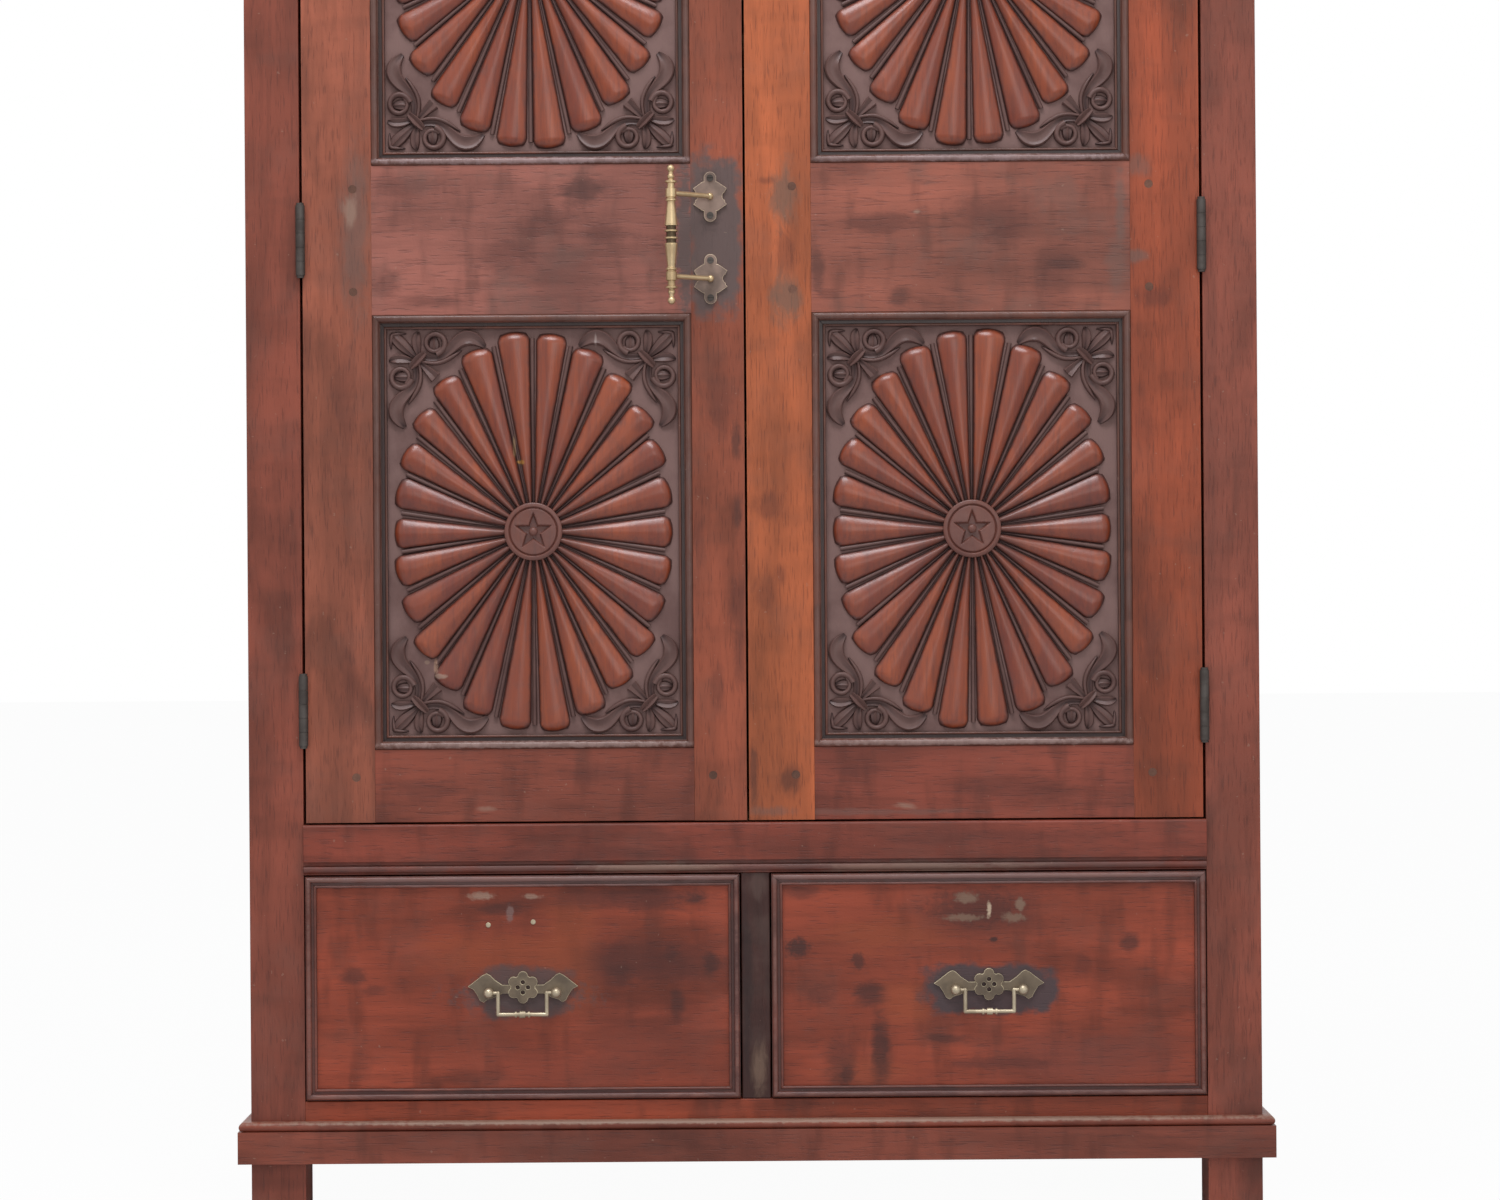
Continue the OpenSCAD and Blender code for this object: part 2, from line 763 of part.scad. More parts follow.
module door_pull_plates() {
    at_pull_plates() linear_extrude(pull_plate_t) pull_plate_outline();
}

module at_pull_screws() {
    at_pull_plates() for (s = [-1, 1]) translate([0, s * ear_z, 0]) children();
}

module door_pull_screws() {
    at_pull_screws() {
        translate([0, 0, -screw_l]) cylinder(r = screw_r, h = screw_l + pull_plate_t);
        translate([0, 0, pull_plate_t]) difference() {
            cylinder(r = 3.6, h = 1.8);
            translate([-4, -0.4, 1]) cube([8, 0.8, 1]);
        }
    }
}

module pull_screw_holes() {
    at_pull_screws() translate([0, 0, -screw_l - screw_end_gap])
        cylinder(r = screw_r + screw_clear, h = screw_l + screw_end_gap + slack);
}

// Drawers, built on the left and mirrored for the right

module drawer_front() {
    x0 = -drawer_x - drawer_w / 2;
    difference() {
        span([x0, front_y, drawer_foot_z],
             [x0 + drawer_w, front_y + drawer_front_t, drawer_foot_z + drawer_front_h]);
        drawer_side_pair(0);
        drawer_bottom();
        for (s = [-1, 1]) translate([-drawer_x + s * bail_span / 2, front_y - slack, pivot_z])
            rotate([-90, 0, 0]) cylinder(r = 2.05, h = 13 + slack);
    }
}

module drawer_side_pair(inset) {
    x0 = -drawer_x - drawer_w / 2 + inset;
    x1 = -drawer_x + drawer_w / 2 - inset;
    for (x = [x0, x1 - drawer_side_t])
        span([x, front_y + drawer_front_t - drawer_lap, drawer_foot_z],
             [x + drawer_side_t, drawer_back_y, drawer_foot_z + drawer_side_h]);
}

module drawer_sides_and_back() {
    x0 = -drawer_x - drawer_w / 2 + drawer_side_t;
    x1 = -drawer_x + drawer_w / 2 - drawer_side_t;
    difference() {
        drawer_side_pair(0);
        drawer_bottom();
    }
    span([x0 + 0.1, drawer_back_y - 20, drawer_bottom_z + drawer_bottom_t],
         [x1 - 0.1, drawer_back_y - 6, drawer_foot_z + drawer_side_h]);
}

module drawer_bottom() {
    x0 = -drawer_x - drawer_w / 2 + drawer_side_t - 5;
    x1 = -drawer_x + drawer_w / 2 - drawer_side_t + 5;
    span([x0, front_y + drawer_front_t - 6, drawer_bottom_z],
         [x1, drawer_back_y, drawer_bottom_z + drawer_bottom_t]);
}

// Drawer moulding: a bead near the edge, a hollow, and a low fillet inside it
module drawer_moulding_section() {
    translate([-2.5, 0]) square([2.5, drawer_moulding_w]);
    translate([-3.2, 3.5]) circle(3);
    translate([-2.5, drawer_moulding_w - 1.5]) circle(1.5);
}

module drawer_moulding() {
    translate([-drawer_x, front_y, handle_z])
        strip_frame(drawer_w, drawer_front_h) drawer_moulding_section();
}

// Drawer handles

// Bat-wing plate: a raised rosette of six lobes with a four-petal opening, between two wings
wing_tip = bail_span / 2 + 23;
wing = [[22, 2.5], [wing_tip - 29, 8], [wing_tip - 24, 13], [wing_tip - 20, 15], [wing_tip - 15, 12.5],
    [wing_tip - 8, 7], [wing_tip, 1], [wing_tip - 6, -2], [wing_tip - 10, -8], [wing_tip - 13, -14],
    [wing_tip - 17, -16], [wing_tip - 21, -13], [wing_tip - 28, -11], [22, -6.5]];
other_wing = [for (i = [len(wing) - 1 : -1 : 0]) [-wing[i][0], wing[i][1]]];

module handle_plate() {
    rosette_t = handle_plate_t + 1;
    translate([-drawer_x, front_y, handle_z]) rotate([90, 0, 0]) difference() {
        union() {
            linear_extrude(handle_plate_t) polygon(concat(wing, other_wing));
            linear_extrude(rosette_t) {
                circle(13);
                for (k = [0 : 5]) rotate(30 + 60 * k) translate([11.5, 0]) circle(5.5);
            }
        }
        for (k = [0 : 3]) rotate(90 * k) translate([5.5, 0, -slack]) cylinder(r = 2.4, h = rosette_t + 2);
        for (s = [-1, 1]) translate([s * bail_span / 2, pivot_z - handle_z, -slack])
            cylinder(r = 2.05, h = rosette_t + 2);
    }
}

module handle_posts() {
    for (s = [-1, 1]) translate([-drawer_x + s * bail_span / 2, front_y, pivot_z])
        difference() {
            rotate([90, 0, 0]) {
                translate([0, 0, -12]) cylinder(r = 2, h = pivot_out + 12);
                translate([0, 0, handle_plate_t]) cylinder(r = 4.2, h = 3);
                translate([0, 0, pivot_out]) sphere(post_ball_r);
            }
            translate([-s * slack, -pivot_out, 0]) rotate([0, -s * 90, 0])
                translate([0, 0, -4]) cylinder(r = pivot_r + pin_clear, h = 12);
        }
}

// A bar with three turned rings on two legs, with pins turned outwards into the posts
module handle_bail() {
    translate([-drawer_x, front_y - pivot_out, pivot_z]) {
        translate([-bail_half, 0, -bail_drop]) rotate([0, 90, 0]) cylinder(r = bail_r, h = 2 * bail_half);
        for (x = [-7, 0, 7]) translate([x, 0, -bail_drop]) rotate([0, 90, 0])
            cylinder(r = x == 0 ? 3.8 : 3.4, h = x == 0 ? 6 : 2, center = true);
        for (s = [-1, 1]) {
            translate([s * bail_half, 0, -bail_drop]) cylinder(r = bail_r, h = bail_drop);
            for (z = [0, -bail_drop]) translate([s * bail_half, 0, z]) sphere(bail_r);
            translate([s * bail_half, 0, 0]) rotate([0, s * 90, 0])
                cylinder(r = pivot_r, h = bail_span / 2 - bail_half + 2);
        }
    }
}

wood = [0.49, 0.27, 0.21];
dark_wood = [0.36, 0.22, 0.18];
carved_wood = [0.47, 0.29, 0.24];
brass = [0.62, 0.52, 0.34];
iron = [0.30, 0.29, 0.28];

color(wood) front_post();  // front_left_post
color(wood) on_side(true) front_post();  // front_right_post
color(wood) back_post();  // back_left_post
color(wood) on_side(true) back_post();  // back_right_post
color(wood) top_front_rail();
color(wood) mid_front_rail();
color(wood) bottom_front_rail();
color(dark_wood) drawer_divider();
color(wood) side_rails();
color(wood) side_panels();
color(dark_wood) back_rails();
color(dark_wood) back_boards();
color(wood) top_board();
color(wood) cornice();
color(wood) base_moulding();
color(dark_wood) cupboard_floor();
color(dark_wood) shelves();
color(dark_wood) shelf_cleats();
color(dark_wood) drawer_runners();
color(iron) hinge_post_leaves();
color(iron) hinge_pins();
color(iron) place_door(false) hinge_leaf(true);  // left_hinge_door_leaves
color(iron) place_door(true) hinge_leaf(true);  // right_hinge_door_leaves

color(wood) place_door(false) hinge_stile(left_door_w, left_meeting_stile_w);  // left_hinge_stile
color(wood) place_door(false) meeting_stile(left_door_w, left_meeting_stile_w, true);  // left_meeting_stile
color(wood) place_door(false) door_rail(left_door_w, left_meeting_stile_w, door_rail_levels[0]);  // left_bottom_rail
color(wood) place_door(false) door_rail(left_door_w, left_meeting_stile_w, door_rail_levels[1], true);  // left_lock_rail
color(wood) place_door(false) door_rail(left_door_w, left_meeting_stile_w, door_rail_levels[2]);  // left_top_rail
color(carved_wood) place_door(false) door_panel(upper_panel_z);  // left_upper_panel
color(carved_wood) place_door(false) door_panel(lower_panel_z);  // left_lower_panel
color(wood) place_door(false) panel_mouldings();  // left_panel_mouldings
color(dark_wood) place_door(false) pegs(left_door_w, left_meeting_stile_w);  // left_pegs

color(wood) place_door(true) hinge_stile(right_door_w, right_meeting_stile_w);  // right_hinge_stile
color(wood) place_door(true) meeting_stile(right_door_w, right_meeting_stile_w, false);  // right_meeting_stile
color(wood) place_door(true) door_rail(right_door_w, right_meeting_stile_w, door_rail_levels[0]);  // right_bottom_rail
color(wood) place_door(true) door_rail(right_door_w, right_meeting_stile_w, door_rail_levels[1]);  // right_lock_rail
color(wood) place_door(true) door_rail(right_door_w, right_meeting_stile_w, door_rail_levels[2]);  // right_top_rail
color(carved_wood) place_door(true) door_panel(upper_panel_z);  // right_upper_panel
color(carved_wood) place_door(true) door_panel(lower_panel_z);  // right_lower_panel
color(wood) place_door(true) panel_mouldings();  // right_panel_mouldings
color(dark_wood) place_door(true) pegs(right_door_w, right_meeting_stile_w);  // right_pegs

color(brass) place_door(false) door_pull_bar();
color(brass) place_door(false) door_pull_plates();
color(brass) place_door(false) door_pull_screws();

color(wood) drawer_front();  // left_drawer_front
color(dark_wood) drawer_sides_and_back();  // left_drawer_sides_and_back
color(dark_wood) drawer_bottom();  // left_drawer_bottom
color(wood) drawer_moulding();  // left_drawer_moulding
color(brass) handle_plate();  // left_handle_plate
color(brass) handle_posts();  // left_handle_posts
color(brass) handle_bail();  // left_handle_bail

color(wood) on_side(true) drawer_front();  // right_drawer_front
color(dark_wood) on_side(true) drawer_sides_and_back();  // right_drawer_sides_and_back
color(dark_wood) on_side(true) drawer_bottom();  // right_drawer_bottom
color(wood) on_side(true) drawer_moulding();  // right_drawer_moulding
color(brass) on_side(true) handle_plate();  // right_handle_plate
color(brass) on_side(true) handle_posts();  // right_handle_posts
color(brass) on_side(true) handle_bail();  // right_handle_bail
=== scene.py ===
import json
import math
import random

import bpy
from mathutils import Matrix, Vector


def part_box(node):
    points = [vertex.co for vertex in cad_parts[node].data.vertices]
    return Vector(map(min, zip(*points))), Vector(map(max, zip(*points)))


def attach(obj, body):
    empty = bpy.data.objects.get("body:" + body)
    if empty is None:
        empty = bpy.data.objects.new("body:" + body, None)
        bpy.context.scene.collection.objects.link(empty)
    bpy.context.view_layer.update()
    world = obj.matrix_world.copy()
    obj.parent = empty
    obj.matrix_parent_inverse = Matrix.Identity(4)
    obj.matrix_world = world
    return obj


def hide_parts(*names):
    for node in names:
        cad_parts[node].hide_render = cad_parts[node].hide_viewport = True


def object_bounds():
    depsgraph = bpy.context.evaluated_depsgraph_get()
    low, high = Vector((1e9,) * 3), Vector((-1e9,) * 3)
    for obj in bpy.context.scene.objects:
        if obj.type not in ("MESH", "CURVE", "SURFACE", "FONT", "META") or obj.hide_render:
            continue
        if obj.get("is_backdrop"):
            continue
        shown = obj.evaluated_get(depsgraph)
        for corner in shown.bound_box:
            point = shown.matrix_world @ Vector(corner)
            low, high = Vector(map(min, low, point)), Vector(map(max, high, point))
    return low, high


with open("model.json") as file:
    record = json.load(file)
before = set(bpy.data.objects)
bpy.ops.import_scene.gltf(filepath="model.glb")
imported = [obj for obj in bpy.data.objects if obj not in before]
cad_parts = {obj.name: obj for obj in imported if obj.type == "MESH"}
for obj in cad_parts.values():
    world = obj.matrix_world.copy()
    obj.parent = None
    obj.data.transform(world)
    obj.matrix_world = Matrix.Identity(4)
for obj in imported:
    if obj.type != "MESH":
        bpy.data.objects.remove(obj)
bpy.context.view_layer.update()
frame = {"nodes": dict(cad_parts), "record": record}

MM = 0.001
hand = random.Random(26)
bodies = frame["record"]["behaviour"]["bodies"]
body_of_node = {node: body for body, nodes in bodies.items() for node in nodes}

# Camera: the photograph's straight view of the front
LENS = 85
SENSOR = 36
CAMERA_X, CAMERA_Y, CAMERA_Z = -0.0035, -3.996, 0.6585
CAMERA_LEAN = math.radians(0.4)

# Carved panels, in millimetres
GROUND_DEPTH = 10
MOULDING_W = 15
PETALS = 26
PETAL_W = 35
PETAL_H = 8.5
PETAL_TIP_H = 5.6
BACK_CUT = 0.5
FOOT_DEPTH = 1.0
PETAL_END_L = 12
GROOVE_W = 6
BOSS_GROOVE_W = 3
RIB_H = 4.4
BOSS_R = 31
BOSS_H = 6.5
STAR_POINTS = 5
STAR_R = 21
STAR_ARM_W = 13
STAR_DEPTH = 3.8
STAR_WALL_W = 1.4
BUTTON_R = 4.6
BUTTON_FLATNESS = 0.75
BUTTON_SINK = 0.9
PETAL_SIDE_GAP = 5
PETAL_TOP_GAP = 1
GOUGE_H = 0.8
HAND_H = 0.9

# Width and rise, in millimetres, of the rings cut into the boss from its rim inwards; the last ones are level
BOSS_RINGS = ((1.2, 0.9), (3.0, 0.3), (1.2, -2.6), (1.4, 2.0)) + ((1.1, 0.0),) * 20

# How far the panels' backs and carved grounds stand in front of the middle of the case, in metres
PANEL_BACK = -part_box("left_lower_panel")[1].y
PANEL_GROUND = PANEL_BACK + GROUND_DEPTH * MM

# Brass nail heads on the left drawer, in millimetres
NAIL_PLACES = {"nail_head_a": (-286, 312.7), "nail_head_b": (-238, 315.6)}
NAIL_R = 2.8
NAIL_H = 1.6

# Worn pieces: edges sharper than this are eased, faces this straight to the front aren't rims, and points of a
# node's mesh nearer than the gap, in metres, become one
SHARP_EDGE = math.radians(40)
STRAIGHT = 0.97
MERGE_GAP = 0.00001

# Floor and sky
FLOOR_W = 40
SKY_COLOUR = (0.92, 0.95, 1.0, 1)
SKY_STRENGTH = 0.42


# Selecting and shaping

def clear_selection():
    if bpy.context.object and bpy.context.object.mode != "OBJECT":
        bpy.ops.object.mode_set(mode="OBJECT")
    bpy.ops.object.select_all(action="DESELECT")


def take(*pieces):
    """Selects just these pieces; the first one is active."""
    clear_selection()
    for piece in pieces:
        piece.select_set(True)
    bpy.context.view_layer.objects.active = pieces[0]
    return pieces[0]


def pick(piece, kind, test):
    """Opens a piece in edit mode with the vertices, edges or faces selected that pass a test."""
    take(piece)
    bpy.ops.object.mode_set(mode="EDIT")
    bpy.ops.mesh.select_mode(type=kind)
    bpy.ops.mesh.select_all(action="DESELECT")
    bpy.ops.object.mode_set(mode="OBJECT")
    mesh = piece.data
    for part in {"VERT": mesh.vertices, "EDGE": mesh.edges, "FACE": mesh.polygons}[kind]:
        part.select = test(part)
    bpy.ops.object.mode_set(mode="EDIT")


def close_edit():
    bpy.ops.object.mode_set(mode="OBJECT")


def modify(piece, kind, **settings):
    """Adds a modifier and applies it."""
    take(piece)
    modifier = piece.modifiers.new(kind.lower(), kind)
    for name, value in settings.items():
        setattr(modifier, name, value)
    bpy.ops.object.modifier_apply(modifier=modifier.name)


def settle(piece):
    """Puts a piece's place, turn and size into its mesh."""
    take(piece)
    bpy.ops.object.transform_apply(location=True, rotation=True, scale=True)
    return piece


def copy_of(piece):
    twin = piece.copy()
    twin.data = piece.data.copy()
    bpy.context.scene.collection.objects.link(twin)
    return twin


def join(name, pieces):
    take(*pieces)
    if len(pieces) > 1:
        bpy.ops.object.join()
    piece = bpy.context.object
    piece.name = name
    piece.data.name = name
    return piece


def face_outwards(piece):
    take(piece)
    bpy.ops.object.mode_set(mode="EDIT")
    bpy.ops.mesh.select_all(action="SELECT")
    bpy.ops.mesh.normals_make_consistent(inside=False)
    close_edit()


def smooth(piece, degrees=35):
    take(piece)
    bpy.ops.object.shade_smooth_by_angle(angle=math.radians(degrees))


def paint(piece, finish):
    piece.data.materials.clear()
    piece.data.materials.append(finish)


def stand_for(piece, node, finish):
    """A finished piece takes a node's place and rides where it rode."""
    paint(piece, finish)
    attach(piece, body_of_node[node])
    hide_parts(node)


# Shader maths

class Value:
    """A number, colour or vector in a shader; arithmetic on it adds Math nodes."""

    def __init__(self, finish, socket):
        self.finish = finish
        self.socket = socket

    def maths(self, operation, *others):
        return self.finish.add("ShaderNodeMath", {"operation": operation}, dict(enumerate((self,) + others)))

    def __add__(self, other):
        return self.maths("ADD", other)

    def __sub__(self, other):
        return self.maths("SUBTRACT", other)

    def __rsub__(self, other):
        return self * -1 + other

    def __mul__(self, other):
        return self.maths("MULTIPLY", other)

    def __pow__(self, other):
        return self.maths("POWER", other)

    __radd__ = __add__

    def between(self, low, high):
        """0 below low, 1 above high, and a soft step between."""
        return self.finish.add("ShaderNodeMapRange", {"interpolation_type": "SMOOTHSTEP"},
                               {"Value": self, "From Min": low, "From Max": high})


class Finish:
    """One procedural material, built from nodes on Object coordinates."""

    def __init__(self, name):
        self.material = bpy.data.materials.new(name)
        self.material.use_nodes = True
        self.tree = self.material.node_tree
        self.tree.nodes.clear()
        self.place = self.add("ShaderNodeTexCoord", output="Object")
        self.ahead = self.add("ShaderNodeSeparateXYZ", {}, {0: self.place}, "Y") * -1

    def add(self, kind, settings=None, sockets=None, output=0):
        node = self.tree.nodes.new(kind)
        for name, value in (settings or {}).items():
            setattr(node, name, value)
        for name, value in (sockets or {}).items():
            if isinstance(value, Value):
                self.tree.links.new(value.socket, node.inputs[name])
            else:
                node.inputs[name].default_value = value
        return Value(self, node.outputs[output])

    def mix(self, amount, base, over):
        return self.add("ShaderNodeMix", {"data_type": "RGBA", "clamp_factor": True},
                        {0: amount, 6: base, 7: over}, 2)

    def vector(self, operation, a, b, output=0):
        return self.add("ShaderNodeVectorMath", {"operation": operation}, {0: a, 1: b}, output)

    def noise(self, where, scale, detail=3, rough=0.5, twist=0.0):
        return self.add("ShaderNodeTexNoise", {"noise_dimensions": "3D"},
                        {"Vector": where, "Scale": scale, "Detail": detail, "Roughness": rough,
                         "Distortion": twist})

    def patch(self, mark, tear, soft):
        """Above 0 inside a mark on the front, 0 outside. A mark is (x, z, half width, half height in mm,
        strength, colour)."""
        x, z, half_x, half_z, strength = mark[:5]
        off = self.vector("SUBTRACT", self.place, (x * MM, 0, z * MM))
        shape = self.vector("MULTIPLY", off, (1 / (half_x * MM), 0, 1 / (half_z * MM)))
        if min(half_x, half_z) > BIG_MARK:
            reach = self.vector("LENGTH", self.vector("MULTIPLY", shape, shape), (0, 0, 0), "Value") ** 0.5
        else:
            reach = self.vector("LENGTH", shape, (0, 0, 0), "Value")
        front = self.ahead.between(PANEL_BACK + 2 * MM, PANEL_BACK + 7 * MM)
        return (reach + tear).between(1 + soft, 1 - soft) * front * strength

    def shade(self, colour, rough, height, depth, metal=0.0, coat=0.0, coat_rough=0.2, specular=0.25):
        bump = self.add("ShaderNodeBump", {}, {"Strength": 1.0, "Distance": depth, "Height": height})
        self.add_output(self.add("ShaderNodeBsdfPrincipled", {}, {
            "Base Color": colour, "Roughness": rough, "Metallic": metal, "Coat Weight": coat,
            "Coat Roughness": coat_rough, "Specular IOR Level": specular, "Normal": bump}))
        return self.material

    def add_output(self, shader):
        end = self.tree.nodes.new("ShaderNodeOutputMaterial")
        self.tree.links.new(shader.socket, end.inputs["Surface"])


def tone(red, green, blue):
    """A colour as a screen shows it, 0 to 255, as a shader takes it."""
    parts = [c / 255 for c in (red, green, blue)]
    return tuple(c / 12.92 if c <= 0.04045 else ((c + 0.055) / 1.055) ** 2.4 for c in parts) + (1.0,)


# Finishes

DARK = tone(72, 40, 36)
BLACK = tone(48, 36, 35)
STAIN = tone(84, 72, 71)
GREY = tone(108, 88, 80)
PALE = tone(164, 136, 118)
WARM = tone(162, 80, 48)
SCUFF = tone(134, 108, 90)

# Marks with both halves above this, in mm, have squarish outlines
BIG_MARK = 18

ALONG = {"X": (0.07, 1, 1), "Y": (1, 0.07, 1), "Z": (1, 1, 0.07)}
PATCHY = {"X": (0.4, 1, 1), "Y": (1, 0.4, 1), "Z": (1, 1, 0.4)}
ACROSS = {"X": (1, 1, 0.3), "Y": (1, 1, 0.3), "Z": (0.3, 1, 1)}


def shades(red, green, blue):
    """The light, middle and dark of one wood, round its usual colour."""
    return [tone(red * share, green * share, blue * share) for share in (1.2, 0.86, 0.58)]


def wood(name, grain, colours, seed, marks=(), stains_and_highlights=(), rough=0.4, patches=0.6, painted_sheen=0.14, depth=None,
         crest=None, coat=0.1, coat_rough=0.28, rippled=0.45):
    """Old varnished wood: figure and pores along the grain, ripples across it, soft dark patches, a grey
    veil that is a painted sheen, soft marks, and sharp-edged patches: stained ones and painted highlights. For
    mouldings, depth and crest are (low y, high y, colour) in mm: hollows get a painted shade and crests are
    worn."""
    light, mid, dark = colours
    f = Finish(name)
    where = f.vector("ADD", f.place, (seed * 1.37, seed * 0.53, seed * 2.11))
    board = f.vector("MULTIPLY", where, ALONG[grain])
    cloud = f.vector("MULTIPLY", where, PATCHY[grain])
    figure = f.noise(board, 26, 4, 0.6, 0.7).between(0.34, 0.66)
    streaks = f.noise(board, 150, 4, 0.62, 0.4).between(0.46, 0.68)
    pores = f.noise(board, 640, 2, 0.5).between(0.56, 0.7)
    smudge = f.noise(cloud, 15, 4, 0.55, 0.4).between(0.5, 0.74)
    broad = f.noise(cloud, 9, 3, 0.5).between(0.36, 0.66)
    veil = f.noise(where, 17, 4, 0.6).between(0.46, 0.72)
    fine = f.noise(where, 420, 3, 0.6)
    rag = f.noise(cloud, 52, 5, 0.7, 0.6)
    tear = f.noise(where, 42, 4, 0.6) - 0.5
    nibble = f.noise(where, 150, 4, 0.65) - 0.5
    ripple = f.noise(f.vector("MULTIPLY", where, ACROSS[grain]), 34, 3, 0.5).between(0.48, 0.7)
    specks = f.noise(where, 170, 2, 0.5).between(0.735, 0.77)
    colour = f.mix(figure * 0.35 + broad * 0.65, mid, light)
    colour = f.mix(smudge * patches, colour, dark)
    colour = f.mix(streaks * 0.2, colour, dark)
    colour = f.mix(ripple * rippled, colour, dark)
    colour = f.mix(pores * 0.35, colour, DARK)
    # the grey veil is a painted sheen: reflected light painted into the colour
    colour = f.mix(veil * painted_sheen, colour, GREY)
    dull = veil * 0.12 + smudge * 0.06
    for mark in marks:
        inside = f.patch(mark, (rag - 0.5) * min(3, 40 / min(mark[2:4])), 0.6) * 0.8
        colour = f.mix(inside, colour, mark[5])
        dull = dull + inside * 0.1
    # sharp-edged patches: stained ones, and painted highlights on the panel beads and the base moulding's top
    for sharp_mark in stains_and_highlights:
        big = min(sharp_mark[2:4]) > BIG_MARK
        inside = f.patch(sharp_mark, tear if big else nibble * 2.2, 0.16 if big else 0.45)
        colour = f.mix(inside, colour, sharp_mark[5])
        dull = dull + inside * 0.1
    colour = f.mix(specks * 0.3, colour, PALE)
    if depth:
        low, high, hollow = depth
        # hollows darkened by depth: painted shade
        sunk = f.ahead.between(-low * MM, -high * MM)
        colour = f.mix(1 - sunk, colour, hollow)
    if crest:
        low, high, worn = crest
        raised = f.ahead.between(-low * MM, -high * MM)
        colour = f.mix(raised * (rag.between(0.34, 0.66) * 0.6), colour, worn)
    height = figure * 0.25 - pores * 0.35 + fine * 0.3 + rag * 0.5
    return f.shade(colour, rough + dull + fine * 0.06, height, 0.0005, coat=coat, coat_rough=coat_rough)


def carving_finish(name, seed, scars=()):
    """Carved wood: petals rubbed to a polished red brown under a grey veil of painted sheen, dull grey-brown
    leaves and ground, painted shade in the creases. lift is the height over the ground, in mm."""
    f = Finish(name)
    where = f.vector("ADD", f.place, (seed * 1.9, seed * 0.7, seed * 3.1))
    board = f.vector("MULTIPLY", where, ALONG["Z"])
    figure = f.noise(board, 34, 4, 0.6, 0.5).between(0.34, 0.68)
    streaks = f.noise(board, 230, 4, 0.6, 0.3).between(0.42, 0.7)
    veil = f.noise(where, 15, 4, 0.6).between(0.42, 0.7)
    rag = f.noise(where, 85, 4, 0.6)
    fine = f.noise(where, 520, 3, 0.6)
    polish = f.add("ShaderNodeAttribute", {"attribute_name": "polish"}, output="Fac")
    tint = f.add("ShaderNodeAttribute", {"attribute_name": "tint"}, output="Fac")
    lift = (f.ahead - PANEL_GROUND) * (1 / MM) + (rag - 0.5)
    crown = f.mix(figure * 0.55 + tint * 0.45, tone(116, 46, 29), tone(160, 74, 36))
    crown = f.mix(streaks * 0.4, crown, tone(84, 37, 28))
    # grey veil on the petals: a painted sheen
    crown = f.mix(veil * 0.14, crown, tone(104, 62, 53))
    petal_colour = f.mix((lift + (rag - 0.5) * 2).between(1.8, 4.6), tone(84, 48, 42), crown)
    dust = f.mix(veil, tone(100, 72, 66), tone(84, 57, 52))
    leaf_colour = f.mix(lift.between(1.6, 4.4), tone(70, 48, 45), dust)
    colour = f.mix(polish + (rag - 0.5) * polish * 0.8, leaf_colour, petal_colour)
    ground = f.mix(veil, tone(128, 99, 93), tone(108, 80, 75))
    crease_shade = lift.between(0.5, 1.0) - lift.between(1.5, 2.3)
    colour = f.mix(lift.between(0.6, 1.6), ground, colour)
    # dark band where the relief meets the ground: painted shade in the creases
    colour = f.mix(crease_shade * 0.6, colour, tone(50, 33, 31))
    back = f.mix(figure, tone(106, 62, 48), tone(136, 80, 60))
    back = f.mix(streaks * 0.3, back, DARK)
    colour = f.mix(f.ahead.between(PANEL_BACK + 6 * MM, PANEL_BACK + 2 * MM), colour, back)
    for scar in scars:
        colour = f.mix(f.patch(scar, (rag - 0.5) * 2, 0.3), colour, scar[5])
    return f.shade(colour, 0.58 - polish * 0.26 + fine * 0.06 + veil * 0.06,
                   fine * 0.35 + rag * 0.6 - streaks * 0.25, 0.0004,
                   coat=polish * 0.5 + lift.between(1.5, 3) * 0.24 + 0.06, coat_rough=0.3)


def metal(name, bright, dull, metallic, rough, turned=None, rimmed=False):
    """Old metal with a soft tarnish. turned is (x, y, z, half height, dark radius, bright radius) in mm of an
    upright bar with painted shade in its middle grooves. A rimmed plate has a painted highlight on its rims
    and is dull between."""
    f = Finish(name)
    tarnish = f.noise(f.place, 46, 4, 0.55).between(0.34, 0.68)
    fine = f.noise(f.place, 700, 3, 0.55)
    colour = f.mix(tarnish * 0.5, bright, dull)
    if rimmed:
        rim = f.add("ShaderNodeAttribute", {"attribute_name": "rim"}, output="Fac")
        flat = f.mix(tarnish * 0.5, dull, tone(70, 60, 54))
        # bright rims over dull, tarnished front faces: a painted highlight on the rims
        colour = f.mix(rim, flat, colour)
    if turned:
        x, y, z, half, inner, outer = turned
        off = f.vector("SUBTRACT", f.place, (x * MM, y * MM, z * MM))
        radius = f.vector("LENGTH", f.vector("MULTIPLY", off, (1, 1, 0)), (0, 0, 0), "Value")
        away = f.vector("LENGTH", f.vector("MULTIPLY", off, (0, 0, 1)), (0, 0, 0), "Value")
        groove = radius.between(outer * MM, inner * MM) * away.between((half + 1) * MM, half * MM)
        # dark in the pull's middle grooves: painted shade
        colour = f.mix(groove * 0.9, colour, tone(62, 48, 34))
    return f.shade(colour, rough + tarnish * 0.14 + fine * 0.06, fine, 0.00006, metal=metallic, specular=0.5)
